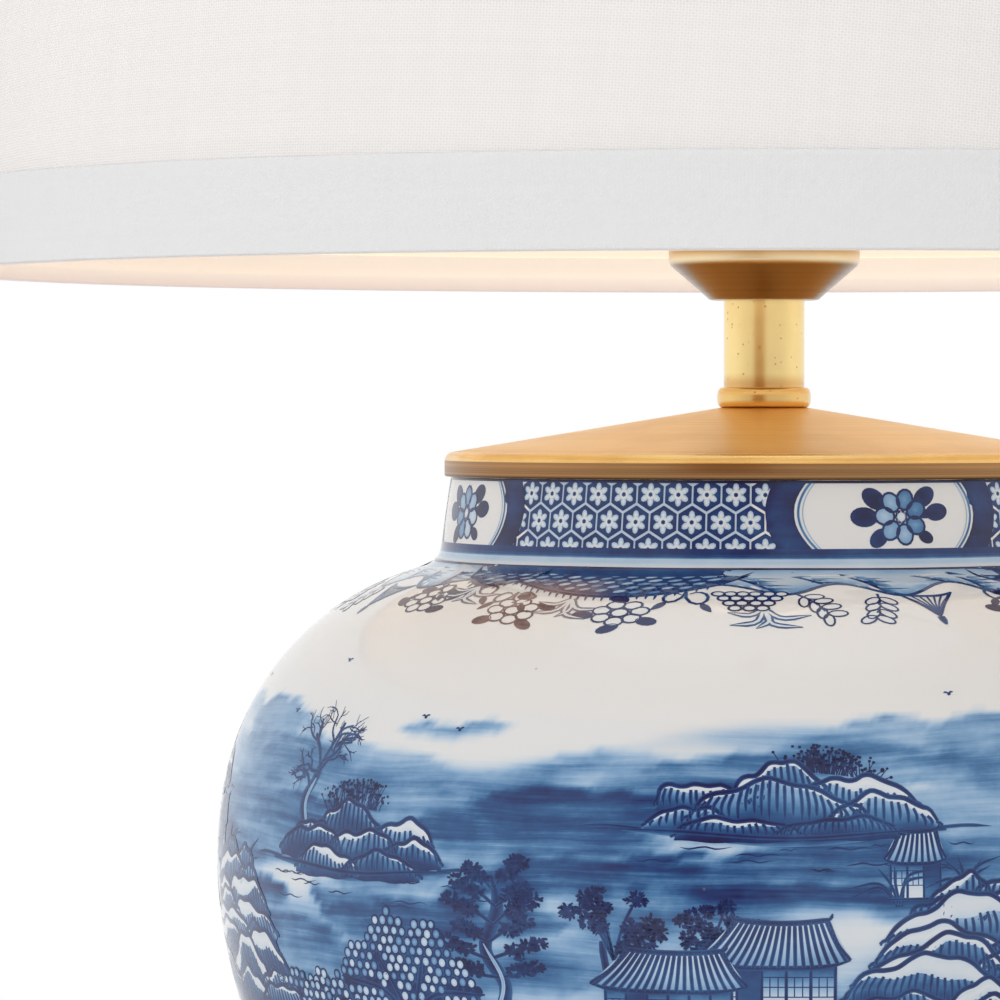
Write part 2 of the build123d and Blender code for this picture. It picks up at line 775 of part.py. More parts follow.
# Screw cap: a closed-bottom shell of thin metal
with BuildPart() as bulb_screw_cap:
    with BuildSketch(Plane.XZ):
        with BuildLine():
            Polyline(
                (0, bulb_cap_bottom),
                (bulb_insulator_radius, bulb_cap_bottom),
                (bulb_cap_radius, bulb_cap_bottom + bulb_insulator_height),
                (bulb_cap_radius, bulb_cap_top),
                (bulb_cap_radius - bulb_cap_sheet, bulb_cap_top),
                (bulb_cap_radius - bulb_cap_sheet, bulb_cap_bottom + bulb_insulator_height),
                (bulb_insulator_radius, bulb_cap_bottom + bulb_cap_sheet),
                (0, bulb_cap_bottom + bulb_cap_sheet),
                close=True,
            )
        make_face()
    revolve(axis=Axis.Z)
bulb_screw_cap.part.label = "bulb_screw_cap"

# the globe's sphere is cut where it meets the collar
globe_foot_radius = bulb_collar_mouth - bulb_globe_wall
globe_foot = globe_centre - sqrt(bulb_globe_radius**2 - globe_foot_radius**2)
# Plastic collar that flares from the screw cap to the globe
with BuildPart() as bulb_collar:
    with BuildSketch(Plane.XZ):
        with BuildLine():
            Polyline(
                (0, globe_foot),
                (0, bulb_cap_top),
                (bulb_collar_throat, bulb_cap_top),
                (bulb_collar_throat, bulb_cap_top + bulb_insulator_height),
            )
            Bezier(
                (bulb_collar_throat, bulb_cap_top + bulb_insulator_height),
                (bulb_collar_throat, bulb_cap_top + bulb_collar_height / 2),
                (bulb_collar_mouth - bulb_collar_height / 6, globe_foot - bulb_collar_height / 3),
                (bulb_collar_mouth, globe_foot),
            )
            Line((bulb_collar_mouth, globe_foot), (0, globe_foot))
        make_face()
    revolve(axis=Axis.Z)
bulb_collar.part.label = "bulb_collar"

# Opal globe: a hollow sphere cut off at the collar
with BuildPart() as bulb_globe:
    with BuildSketch(Plane.XZ):
        with Locations((0, globe_centre)):
            Circle(bulb_globe_radius)
            Circle(bulb_globe_radius - bulb_globe_wall, mode=Mode.SUBTRACT)
        with Locations((-bulb_globe_radius, globe_centre)):
            Rectangle(2 * bulb_globe_radius, 3 * bulb_globe_radius, mode=Mode.SUBTRACT)
        with Locations((0, globe_foot - 2 * bulb_globe_radius)):
            Rectangle(4 * bulb_globe_radius, 4 * bulb_globe_radius, mode=Mode.SUBTRACT)
    revolve(axis=Axis.Z)
bulb_globe.part.label = "bulb_globe"

# ---------------------------------------------------------------- shade
# Layers from the outside in: trim, fabric, liner, then the wire rings.
fabric_depth = trim_thickness + glue_gap
liner_depth = fabric_depth + fabric_thickness + glue_gap
wire_depth = liner_depth + liner_thickness + glue_gap + wire_radius
layer_bottom = shade_bottom + trim_thickness + glue_gap
layer_top = shade_top - trim_thickness - glue_gap

with BuildPart() as shade_fabric:
    cone_layer(fabric_depth, fabric_thickness, layer_bottom, layer_top)
shade_fabric.part.label = "shade_fabric"

with BuildPart() as shade_liner:
    cone_layer(liner_depth, liner_thickness, layer_bottom, layer_top)
shade_liner.part.label = "shade_liner"

lower_wire_height = layer_bottom + wire_radius
upper_wire_height = layer_top - wire_radius
lower_wire_circle = shade_wall(wire_depth, lower_wire_height)
upper_wire_circle = shade_wall(wire_depth, upper_wire_height)


# Welded frame: the fitter ring on the lampholder, the lower wire ring and three bent arms between them
with BuildPart() as shade_fitter:
    ring(fitter_radius, holder_radius + slip_gap, fitter_bottom, fitter_top)
shade_fitter.part.label = "shade_fitter"

with BuildPart() as lower_wire_ring:
    with BuildSketch(Plane.XZ):
        with Locations((lower_wire_circle, lower_wire_height)):
            Circle(wire_radius)
    revolve(axis=Axis.Z)
lower_wire_ring.part.label = "lower_wire_ring"

first_arm = 90  # one arm points straight back
arm_level_end = ring_radius + arm_level_length
arm_bearings = [
    Plane.XZ.rotated((0, 0, first_arm + arm * 360 / arm_count)) for arm in range(arm_count)
]
with BuildPart() as shade_arms:
    for bearing in arm_bearings:
        with BuildLine(bearing) as arm_path:
            FilletPolyline(
                (fitter_radius - wire_radius / 2, fitter_middle),
                (arm_level_end, fitter_middle),
                (lower_wire_circle, lower_wire_height),
                radius=arm_bend_radius,
            )
        with BuildSketch(Plane(arm_path.line @ 0, z_dir=arm_path.line % 0)):
            Circle(wire_radius)
        sweep(path=arm_path.line)
    # both ends are cut to the round edge that they are welded to
    with BuildSketch(Plane.XY.offset(fitter_middle - wire_radius)):
        Circle(fitter_radius + glue_gap)
    extrude(amount=2 * wire_radius, mode=Mode.SUBTRACT)
    with BuildSketch(Plane.XZ):
        with Locations((lower_wire_circle, lower_wire_height)):
            Circle(wire_radius + glue_gap)
    revolve(axis=Axis.Z, mode=Mode.SUBTRACT)
shade_arms.part.label = "shade_arms"


def trim_section(edge, up, wire_height):
    """Section of the folded trim: up the outside, under the edge, round the wire and back to the liner.

    edge is the height of the shade's edge, and up is 1 at the lower edge and -1 at the upper one."""
    wire_circle = shade_wall(wire_depth, wire_height)
    inner = wire_circle - wire_radius - glue_gap
    fold = edge + up * trim_thickness
    past_wire = wire_height + up * (wire_radius + glue_gap)
    back = wire_height + up * 2 * wire_radius
    end = edge + up * trim_inside_height
    lay = liner_depth + liner_thickness + glue_gap
    Polyline(
        (shade_wall(0, edge), edge),
        (shade_wall(0, edge + up * trim_height), edge + up * trim_height),
        (shade_wall(trim_thickness, edge + up * trim_height), edge + up * trim_height),
        (shade_wall(trim_thickness, fold), fold),
        (inner, fold),
        (inner, past_wire),
        (shade_wall(lay, back), back),
        (shade_wall(lay, end), end),
        (shade_wall(lay + trim_thickness, end), end),
        (shade_wall(lay + trim_thickness, back + up * trim_thickness / 2), back + up * trim_thickness / 2),
        (inner - trim_thickness, past_wire),
        (inner - trim_thickness, edge),
        close=True,
    )


with BuildPart() as lower_trim:
    with BuildSketch(Plane.XZ):
        with BuildLine():
            trim_section(shade_bottom, 1, lower_wire_height)
        make_face()
    revolve(axis=Axis.Z)
    # notches in the inner fold, where the arms come through to the wire
    arm_fall = (fitter_middle - lower_wire_height) / (lower_wire_circle - arm_level_end)
    for bearing in arm_bearings:
        wire_point = bearing.from_local_coords((lower_wire_circle, lower_wire_height, 0))
        inward = bearing.from_local_coords((-1, arm_fall, 0)) - bearing.origin
        inward = inward.normalized()
        with BuildSketch(Plane(wire_point + inward * wire_radius / 2, z_dir=inward)):
            Circle(wire_radius + slip_gap)
        extrude(amount=3 * wire_radius, mode=Mode.SUBTRACT)
lower_trim.part.label = "lower_trim"

with BuildPart() as upper_trim:
    with BuildSketch(Plane.XZ):
        with BuildLine():
            trim_section(shade_top, -1, upper_wire_height)
        make_face()
    revolve(axis=Axis.Z)
upper_trim.part.label = "upper_trim"

with BuildPart() as upper_wire_ring:
    with BuildSketch(Plane.XZ):
        with Locations((upper_wire_circle, upper_wire_height)):
            Circle(wire_radius)
    revolve(axis=Axis.Z)
upper_wire_ring.part.label = "upper_wire_ring"

# ---------------------------------------------------------------- write every piece
for piece in (
    felt_pad,
    bottom_board,
    foot,
    cord_bushing,
    bushing_nut,
    threaded_rod,
    lower_washer,
    lock_washer,
    lower_nut,
    foot_gasket,
    jar,
    mouth_gasket,
    cap,
    collar,
    neck_tube,
    cup,
    cup_washer,
    cup_nut,
    holder_cap,
    holder_shell,
    holder_insert,
    terminal_screws,
    screw_shell,
    centre_contact,
    lower_shade_ring,
    upper_shade_ring,
    switch_bushing,
    switch_spindle,
    switch_knob,
    bulb_contact,
    bulb_insulator,
    bulb_screw_cap,
    bulb_collar,
    bulb_globe,
    shade_fabric,
    shade_liner,
    lower_trim,
    upper_trim,
    shade_fitter,
    shade_arms,
    lower_wire_ring,
    upper_wire_ring,
):
    export_step(piece.part, f"parts/{piece.part.label}.step")
    print(piece.part.label, len(piece.part.solids()), round(piece.part.volume, 1), piece.part.is_valid)
print("shade bottom", round(shade_bottom, 2), "top", round(shade_top, 2), "cap seat", round(cap_seat, 2))
print("cup", round(tube_top, 2), round(cup_top, 2), "holder", round(holder_bottom, 2), round(shell_top, 2))
print("bulb", round(bulb_bottom, 2), round(bulb_top, 2), "jar", round(jar_bottom, 2), round(jar_top, 2))
print("switch", round(switch_height, 2), "bushing", round(bushing_height, 2), round(bushing_face, 2))
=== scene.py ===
# %% [markdown]
# # A ginger jar lamp
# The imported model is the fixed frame: every solid of the lamp is already in its place, in metres, with z up.
# This lesson dresses those solids. It glazes and paints the jar, finishes the brass, and hangs the shade.

# %% Load the frame
import math
import random
from math import cos, pi, radians, sin

import bpy
import numpy as np
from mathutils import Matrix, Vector


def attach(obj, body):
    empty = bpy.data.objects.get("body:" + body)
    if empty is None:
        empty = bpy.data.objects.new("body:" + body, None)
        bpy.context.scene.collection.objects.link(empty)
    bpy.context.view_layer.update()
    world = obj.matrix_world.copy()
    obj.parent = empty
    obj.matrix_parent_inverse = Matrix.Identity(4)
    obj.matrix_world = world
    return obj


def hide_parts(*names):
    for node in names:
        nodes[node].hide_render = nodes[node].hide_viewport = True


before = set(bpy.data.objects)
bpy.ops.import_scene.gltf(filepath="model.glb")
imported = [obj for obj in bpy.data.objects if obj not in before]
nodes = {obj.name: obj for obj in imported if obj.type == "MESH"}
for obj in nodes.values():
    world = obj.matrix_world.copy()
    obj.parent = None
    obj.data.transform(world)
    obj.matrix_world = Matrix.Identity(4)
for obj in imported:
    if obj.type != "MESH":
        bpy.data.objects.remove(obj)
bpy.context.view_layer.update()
print("nodes in the frame:", len(nodes))

# %% [markdown]
# ## Small helpers
# A material or a geometry tree is a list of nodes joined by links. One short function adds a node, sets what is
# plain and links what comes from another node, so that each finish below reads like a recipe.

# %% Helpers for trees and colours
MM = 0.001


def node(tree, kind, inputs=None, **settings):
    """Adds one node. An input may be a plain value or another node's output."""
    made = tree.nodes.new(kind)
    for key, value in settings.items():
        setattr(made, key, value)
    for key, value in (inputs or {}).items():
        if isinstance(value, bpy.types.NodeSocket):
            tree.links.new(value, made.inputs[key])
        else:
            made.inputs[key].default_value = value
    return made


def srgb(red, green, blue):
    """A colour as a screen shows it, 0 to 255, turned into the light that a shader works with."""
    light = [c / 255 / 12.92 if c <= 10 else ((c / 255 + 0.055) / 1.055) ** 2.4 for c in (red, green, blue)]
    return (*light, 1.0)


def finish(name, **settings):
    """A new material: its tree and its one shader, with the plain numbers on the shader's own sockets."""
    made = bpy.data.materials.new(name)
    made.use_nodes = True
    shader = made.node_tree.nodes["Principled BSDF"]
    for key, value in settings.items():
        shader.inputs[key.replace("_", " ")].default_value = value
    return made, made.node_tree, shader


def maths(tree, operation, first, second=0.0, clamp=False):
    return node(tree, "ShaderNodeMath", {0: first, 1: second}, operation=operation, use_clamp=clamp).outputs[0]


def times(tree, first, second, clamp=False):
    return maths(tree, "MULTIPLY", first, second, clamp)


def plus(tree, first, second):
    return maths(tree, "ADD", first, second)


def minus(tree, first, second):
    return maths(tree, "SUBTRACT", first, second)


def split(tree, vector):
    """The three parts of a vector, or of a colour."""
    return node(tree, "ShaderNodeSeparateXYZ", {0: vector}).outputs


def mapped(tree, value, start, end, least=0.0, most=1.0, smooth=False):
    """Maps a value that runs from start to end onto least to most, and holds it there beyond either end."""
    inputs = {"Value": value, "From Min": start, "From Max": end, "To Min": least, "To Max": most}
    return node(tree, "ShaderNodeMapRange", inputs, interpolation_type="SMOOTHSTEP" if smooth else "LINEAR").outputs[0]


def blend_colours(tree, share, first, second):
    return node(tree, "ShaderNodeMix", {0: share, 6: first, 7: second}, data_type="RGBA").outputs[2]


def colour_from(tree, shader, colour):
    tree.links.new(colour, shader.inputs["Base Color"])


def ramp(tree, share, stops):
    made = node(tree, "ShaderNodeValToRGB", {0: share})
    while len(made.color_ramp.elements) < len(stops):
        made.color_ramp.elements.new(1.0)
    for element, (place, colour) in zip(made.color_ramp.elements, stops):
        element.position, element.color = place, colour
    return made.outputs[0]


def noise(tree, where, stretch, detail=3.0, roughness=0.5):
    """Noise on the object's own coordinates, pulled along each axis by stretch, or by one number along all three."""
    stretch = stretch if isinstance(stretch, tuple) else (stretch,) * 3
    pulled = node(tree, "ShaderNodeMapping", {"Vector": where, "Scale": stretch}).outputs[0]
    inputs = {"Vector": pulled, "Scale": 1.0, "Detail": detail, "Roughness": roughness}
    return node(tree, "ShaderNodeTexNoise", inputs).outputs[0]


def bump(tree, shader, height, depth, strength=1.0):
    made = node(tree, "ShaderNodeBump", {"Height": height, "Distance": depth, "Strength": strength})
    tree.links.new(made.outputs[0], shader.inputs["Normal"])


def own_place(tree):
    return node(tree, "ShaderNodeTexCoord").outputs["Object"]


def way_round(tree, places):
    """The angle round the z axis, 0 at the front, from the three parts of a place."""
    return maths(tree, "ARCTAN2", places[0], times(tree, places[1], -1.0))


print("helpers ready")

# %% Helpers for meshes
def piece(name, points, faces, material, body, uv=None, **numbers):
    """A smooth mesh piece that rides on a body. Points in metres; uv is one pair per face corner; numbers are one
    value per point, for the shader to read."""
    mesh = bpy.data.meshes.new(name)
    if isinstance(faces, np.ndarray):
        fill_mesh(mesh, points, faces)
    else:
        mesh.from_pydata([tuple(p) for p in points], [], faces)
    mesh.polygons.foreach_set("use_smooth", np.ones(len(mesh.polygons), bool))
    if uv is not None:
        mesh.uv_layers.new(name="cloth").data.foreach_set("uv", np.asarray(uv, np.float32).ravel())
    for key, values in numbers.items():
        mesh.attributes.new(key, "FLOAT", "POINT").data.foreach_set("value", np.asarray(values, np.float32))
    mesh.materials.append(material)
    mesh.update()
    made = bpy.data.objects.new(name, mesh)
    bpy.context.scene.collection.objects.link(made)
    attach(made, body)
    return made


def fill_mesh(mesh, points, quads):
    """The quick way in for a large grid: quads is an array of four corners each."""
    mesh.vertices.add(len(points))
    mesh.vertices.foreach_set("co", np.asarray(points, np.float32).ravel())
    mesh.loops.add(quads.size)
    mesh.loops.foreach_set("vertex_index", quads.astype(np.int32).ravel())
    mesh.polygons.add(len(quads))
    mesh.polygons.foreach_set("loop_start", np.arange(0, quads.size, quads.shape[1], dtype=np.int32))
    mesh.update(calc_edges=True)


def lathe_grid(profile, turns, closed=True):
    """Points and quads of an outline (radius, height) in mm turned round the z axis."""
    radius, height = np.asarray(profile, float).T[:, :, None]
    angle = np.arange(turns) / turns * 2 * pi
    points = [radius * np.sin(angle), -radius * np.cos(angle), np.repeat(height, turns, 1)]
    points = np.stack(points, -1).reshape(-1, 3) * MM
    rows = len(radius)
    row = np.arange(rows if closed else rows - 1)[:, None]
    column = np.arange(turns)[None]
    after, beside = (row + 1) % rows * turns, (column + 1) % turns
    quads = np.stack([row * turns + column, row * turns + beside, after + beside, after + column], -1)
    return points, quads.reshape(-1, 4)


def arc(centre, radius, start, end, steps):
    angles = np.radians(np.linspace(start, end, steps))
    return np.stack([centre[0] + radius * np.cos(angles), centre[1] + radius * np.sin(angles)], -1)


print("mesh helpers ready")

# %% [markdown]
# ## Camera, floor and light
# The camera stands level with the top of the jar, 1.6 m away, with a long lens, and is turned a little to the left.
# The floor fades into the white surroundings, so no edge shows, yet the lamp keeps its shadow. Wide soft lamps
# and a pale room light the object plainly. What metal mirrors matters most for brass, so the room has a darker front
# with a narrow dark gap, as between two soft lamps, and that gap is what draws the dark line down a polished tube.

# %% Camera
camera_data = bpy.data.cameras.new("camera")
camera_data.lens, camera_data.sensor_width = 187.2, 36.0
camera_data.clip_start, camera_data.clip_end = 0.05, 50.0
camera = bpy.data.objects.new("camera", camera_data)
camera.location = (0.0, -1.586, 0.3764)
camera.rotation_euler = (radians(90 - 1.0137), 0.0, radians(2.906))
bpy.context.scene.collection.objects.link(camera)
bpy.context.scene.camera = camera
bpy.context.scene.view_settings.view_transform = "Standard"

# %% Floor that fades into the white round it
floor_mesh = bpy.data.meshes.new("floor")
floor_points, floor_quads = lathe_grid([(1e-3, 0.0), (400, 0.0), (1000, 0.0), (2000, 0.0)], 64, closed=False)
floor_mesh.from_pydata(floor_points.tolist(), [], floor_quads.tolist())
floor = bpy.data.objects.new("floor", floor_mesh)
bpy.context.scene.collection.objects.link(floor)

floor_paint = bpy.data.materials.new("floor_paint")
floor_paint.use_nodes = True
tree = floor_paint.node_tree
tree.nodes.clear()
distance = node(tree, "ShaderNodeVectorMath", {0: own_place(tree)}, operation="LENGTH").outputs["Value"]
fade = mapped(tree, distance, 0.45, 1.5, smooth=True)
path = node(tree, "ShaderNodeLightPath").outputs
seen = maths(tree, "MAXIMUM", path["Is Camera Ray"], path["Is Glossy Ray"])
seen = maths(tree, "MAXIMUM", seen, path["Is Transmission Ray"])
share = times(tree, fade, seen)
paint = node(tree, "ShaderNodeBsdfDiffuse", {"Color": (0.86, 0.86, 0.86, 1)}).outputs[0]
glow = node(tree, "ShaderNodeEmission", {"Color": (1, 1, 1, 1), "Strength": 1.0}).outputs[0]
mixed = node(tree, "ShaderNodeMixShader", {0: share, 1: paint, 2: glow}).outputs[0]
node(tree, "ShaderNodeOutputMaterial", {"Surface": mixed})
floor_mesh.materials.append(floor_paint)

# %% Pale room
world = bpy.data.worlds.new("room")
bpy.context.scene.world = world
world.use_nodes = True
tree = world.node_tree
tree.nodes.clear()
path = node(tree, "ShaderNodeLightPath").outputs
sides = split(tree, node(tree, "ShaderNodeTexCoord").outputs["Generated"])
front = mapped(tree, sides[1], -0.95, 0.1, 0.72, 1.0, smooth=True)
gap_place, gap_start, gap_end = radians(13), radians(7), radians(22)
from_gap = maths(tree, "ABSOLUTE", plus(tree, way_round(tree, sides), gap_place))
beside_gap = mapped(tree, from_gap, gap_start, gap_end, smooth=True)
depth = times(tree, front, plus(tree, 0.5, times(tree, beside_gap, 0.5)))
in_gap = times(tree, minus(tree, 1.0, beside_gap), path["Is Glossy Ray"])
straight = maths(tree, "MAXIMUM", path["Is Camera Ray"], path["Is Transmission Ray"])
shown = maths(tree, "ADD", straight, times(tree, path["Is Glossy Ray"], depth), clamp=True)
room_light = 0.56
lit = times(tree, minus(tree, 1.0, maths(tree, "MAXIMUM", straight, path["Is Glossy Ray"])), room_light)
room_colour = blend_colours(tree, in_gap, (1, 1, 1, 1), (1.0, 0.56, 0.28, 1))
background = node(tree, "ShaderNodeBackground", {"Color": room_colour, "Strength": plus(tree, shown, lit)}).outputs[0]
node(tree, "ShaderNodeOutputWorld", {"Surface": background})

# %% Soft lamps
lamp_aim = Vector((0.0, 0.0, 0.3))
for name, place, size, watts in (
    ("left_soft_lamp", (-2.2, -1.7, 0.9), (1.8, 2.0), 27),
    ("right_soft_lamp", (2.4, -1.6, 1.0), (1.8, 2.0), 20),
    ("top_soft_lamp", (0.0, -0.4, 2.6), (2.4, 2.4), 14),
):
    data = bpy.data.lights.new(name, "AREA")
    data.shape, data.size, data.size_y, data.energy = "RECTANGLE", *size, watts
    lamp = bpy.data.objects.new(name, data)
    lamp.location = place
    lamp.rotation_euler = (lamp_aim - Vector(place)).to_track_quat("-Z", "Y").to_euler()
    lamp.visible_glossy = False
    bpy.context.scene.collection.objects.link(lamp)

# %% [markdown]
# ## The jar's wall
# A thrown jar is a surface of revolution, so one outline turned round the axis makes it. The outline is the same
# as in the solid: two long curves for the belly and the shoulder, a small hollow under the neck and a straight neck.
# A point on the wall is named by its angle round the jar and its climb, the distance walked up the wall from the
# foot. Everything that is painted later is drawn in these two numbers, so it lies on the wall wherever it goes.

# %% Outline of the jar, in mm
foot_radius, foot_height, belly_radius, belly_height = 101.0, 37.8, 166.3, 240.2
neck_root, neck_root_radius, mouth_height, mouth_radius = 334.3, 98.3, 360.0, 94.7
hollow_radius, shoulder_lean = 7.3, radians(74)


def curve(points, steps):
    t = np.linspace(0, 1, steps)[:, None]
    a, b, c, d = (np.array(p, float) for p in points)
    return (1 - t) ** 3 * a + 3 * (1 - t) ** 2 * t * b + 3 * (1 - t) * t * t * c + t**3 * d


neck_slant = (neck_root_radius - mouth_radius) / (mouth_height - neck_root)
level_share = 1 / math.hypot(1, neck_slant)
hollow = (neck_root_radius + hollow_radius * level_share, neck_root + hollow_radius * level_share * neck_slant)
shoulder_end = (hollow[0] - hollow_radius * cos(shoulder_lean), hollow[1] - hollow_radius * sin(shoulder_lean))
belly = (belly_radius, belly_height)
lower_wall = curve([(foot_radius, foot_height), (foot_radius, foot_height + 50),
                    (belly_radius, belly_height - 68.2), belly], 200)
pull = (shoulder_end[0] + 36.5 * sin(shoulder_lean), shoulder_end[1] - 36.5 * cos(shoulder_lean))
upper_wall = curve([belly, (belly_radius, belly_height + 50), pull, shoulder_end], 160)
turn = math.degrees(math.atan(neck_slant))
small_hollow = arc(hollow, hollow_radius, 180 + 74, 180 + turn, 24)
mouth_edge = arc((mouth_radius - 2.0 + 0.27, mouth_height - 2.0), 2.0, turn, 90, 6)
wall = np.vstack([lower_wall, upper_wall[1:], small_hollow[1:], mouth_edge])
climb_along = np.concatenate([[0], np.cumsum(np.hypot(*np.diff(wall, axis=0).T))])
print("climb from foot to mouth, mm:", round(float(climb_along[-1]), 1))


# %% Places on the wall
def climb_at(height):
    return float(np.interp(height, wall[:, 1], climb_along))


def radius_at(climb):
    return np.interp(climb, climb_along, wall[:, 0])


fine_climb = np.linspace(0, climb_along[-1], 3000)
fine_wall = np.stack([np.interp(fine_climb, climb_along, wall[:, i]) for i in (0, 1)], -1)
slope = np.gradient(fine_wall, fine_climb, axis=0)
outward = np.stack([slope[:, 1], -slope[:, 0]], -1) / np.hypot(*slope.T)[:, None]


def on_wall(angle, climb, lift=0.0):
    """Points on the wall, in metres: angle in radians from the front, climb and lift in mm."""
    r, z = (np.interp(climb, fine_climb, fine_wall[:, i]) for i in (0, 1))
    out_r, out_z = (np.interp(climb, fine_climb, outward[:, i]) for i in (0, 1))
    r, z = r + out_r * lift, z + out_z * lift
    return np.stack([r * np.sin(angle), -r * np.cos(angle), z], -1) * MM


# %% [markdown]
# ## Glaze
# Fired porcelain is white clay under a clear glassy coat, and cobalt painted on the clay turns blue under it. One
# number per point, cobalt, says how thick the pigment is, and a ramp turns it into the colours that it fires to.
# The shader's own gloss makes the coat, and noise that is stretched level leaves the streaks of a broad brush.

# %% Glazes
cobalt_ramp = [
    (0.00, srgb(219, 220, 221)), (0.12, srgb(196, 208, 219)), (0.24, srgb(163, 188, 213)),
    (0.36, srgb(124, 161, 197)), (0.50, srgb(74, 121, 166)), (0.63, srgb(40, 84, 134)),
    (0.78, srgb(30, 58, 110)), (0.90, srgb(26, 40, 92)), (1.00, srgb(24, 28, 70)),
]


def glazed(name, streaks):
    """Clear glaze over cobalt: the depth of blue comes from the mesh and is made uneven by the brush."""
    made, tree, shader = finish(name, Roughness=0.07, IOR=1.5)
    where = own_place(tree)
    blue = node(tree, "ShaderNodeAttribute", attribute_name="cobalt").outputs["Fac"]
    unsteady = node(tree, "ShaderNodeTexNoise", {"Vector": where, "Scale": 14.0, "Detail": 1.0}).outputs["Color"]
    shift = node(tree, "ShaderNodeVectorMath", {0: unsteady, 1: (0.0, 0.0, 0.009)}, operation="MULTIPLY").outputs[0]
    warped = node(tree, "ShaderNodeVectorMath", {0: where, 1: shift}).outputs[0]
    brushed = noise(tree, warped, (12, 12, 330), 6.0, 0.72)
    pooled = noise(tree, where, (70, 70, 110), 4.0, 0.6)
    uneven = plus(tree, times(tree, minus(tree, brushed, 0.5), streaks), times(tree, minus(tree, pooled, 0.5), 0.7))
    deep = times(tree, blue, plus(tree, 1.0, uneven), clamp=True)
    # here and there the blue is tinted brownish: four times round, in the border under the neck
    places = split(tree, where)
    turned = maths(tree, "COSINE", plus(tree, times(tree, way_round(tree, places), 4.0), radians(138)))
    under_line = mapped(tree, places[2], 0.3285, 0.324, smooth=True)
    warm = times(tree, mapped(tree, turned, 0.55, 0.98, smooth=True), under_line)
    warm = times(tree, warm, mapped(tree, places[2], 0.306, 0.312))
    brownish_ramp = [(0.0, srgb(219, 220, 221)), (0.3, srgb(196, 178, 168)),
                 (0.9, srgb(128, 98, 92)), (1.0, srgb(74, 48, 46))]
    colour = blend_colours(tree, times(tree, warm, 0.8), ramp(tree, deep, cobalt_ramp), ramp(tree, deep, brownish_ramp))
    # a few iron specks, as fired clay has
    speck = node(tree, "ShaderNodeTexVoronoi", {"Vector": where, "Scale": 62.0}).outputs["Distance"]
    speck = mapped(tree, speck, 0.018, 0.032, 0.45, 0.0)
    colour_from(tree, shader, blend_colours(tree, speck, colour, srgb(120, 110, 100)))
    bump(tree, shader, noise(tree, where, 38, 2.0), 0.0006, 0.05)
    return made


wall_glaze = glazed("wall_glaze", 1.25)
ink_glaze = glazed("ink_glaze", 0.25)
print("glazes mixed")

# %% Wash: thin cobalt laid on with a wide flat brush, as one value for each point of the wall
turns_round = 432
grid_climb = np.unique(np.concatenate([np.linspace(*rows) for rows in (
    (0, 296, 146), (298, 335, 20), (334, 341, 8), (342, climb_along[-1], 8))]))
grid_angle = np.arange(turns_round) / turns_round * 2 * pi
grid_height = np.interp(grid_climb, climb_along, wall[:, 1])[:, None]


def waves(angle, seed, few=3, many=9):
    """A wavy number round the jar, from -1 to 1, that meets itself at the back."""
    hand = random.Random(seed)
    parts = [(k, hand.uniform(0, 2 * pi), k**-0.7) for k in range(few, many)]
    return sum(size * np.sin(k * angle + start) for k, start, size in parts) / sum(size for *_, size in parts) * 1.6


def band(value, low, high):
    """0 below low, 1 above high, and smooth between."""
    t = np.clip((value - low) / (high - low), 0, 1)
    return t * t * (3 - 2 * t)


sky_edge = 284 + 6 * waves(grid_angle, 4) + 2.0 * waves(grid_angle, 9, 10, 26)
shore_gap = 236 + 7 * waves(grid_angle, 6) + 2.0 * waves(grid_angle, 12, 9, 20)
drifts = 0.16 * waves(grid_angle + 0.05 * grid_height, 21, 3, 14)
drifts = drifts + 0.10 * np.sin(grid_height * 0.23 + 3 * waves(grid_angle, 5))
sky = band(sky_edge - grid_height, 0.0, 5.0) * (0.34 + drifts)
gap_reach = 5.0 + 4.0 * np.abs(waves(grid_angle, 8))
gap = np.exp(-(((grid_height - shore_gap) / gap_reach) ** 2)) * band(waves(grid_angle, 15, 4, 13), -0.5, 0.2)
below = band(shore_gap - 12 - grid_height, 0.0, 24.0)
below = below * (0.55 + 0.25 * np.sin(grid_height * 0.11 + 2.5 * waves(grid_angle, 31)))
wash = np.maximum(sky, 0.0) * (1 - 0.92 * gap) * (1 - np.clip(below, 0, 0.95))
wash[grid_climb > climb_at(300)] = 0.0
print("wash, least and most:", round(float(wash.min()), 2), round(float(wash.max()), 2))


# %% Broad strokes of the wash
def wash_stroke(azimuth, height, length, wide, blue, bow, tilt, hard, seed):
    """One pull of a wide brush: level, a little bowed, one edge clear and the other run out into the wash."""
    middle = climb_at(height)
    across = (np.degrees(grid_angle) - azimuth + 180) % 360 - 180
    t = np.radians(across) * radius_at(middle) / (length / 2)
    columns = np.abs(t) < 1
    t = t[columns][None]
    line = middle + bow * t * t + tilt * t + 0.6 * np.sin(7 * t + seed) + 0.3 * np.sin(19 * t + 2 * seed)
    half = wide / 2 * np.clip((1 - np.abs(t) ** 3) * 1.15, 0.05, 1.0)
    up = (grid_climb[:, None] - line) * hard
    cover = band(half - up, 0.0, 2.4) * band(up + half * 1.5, 0.0, half * 1.6)
    cover = cover * np.clip((1 - np.abs(t)) * 4, 0, 1) ** 0.7
    ridge = 1 + 0.16 * np.exp(-(((up - half + 1.2) / 1.4) ** 2))
    there = wash[:, columns]
    wash[:, columns] = there + cover * np.maximum(blue * ridge - there, 0.02)


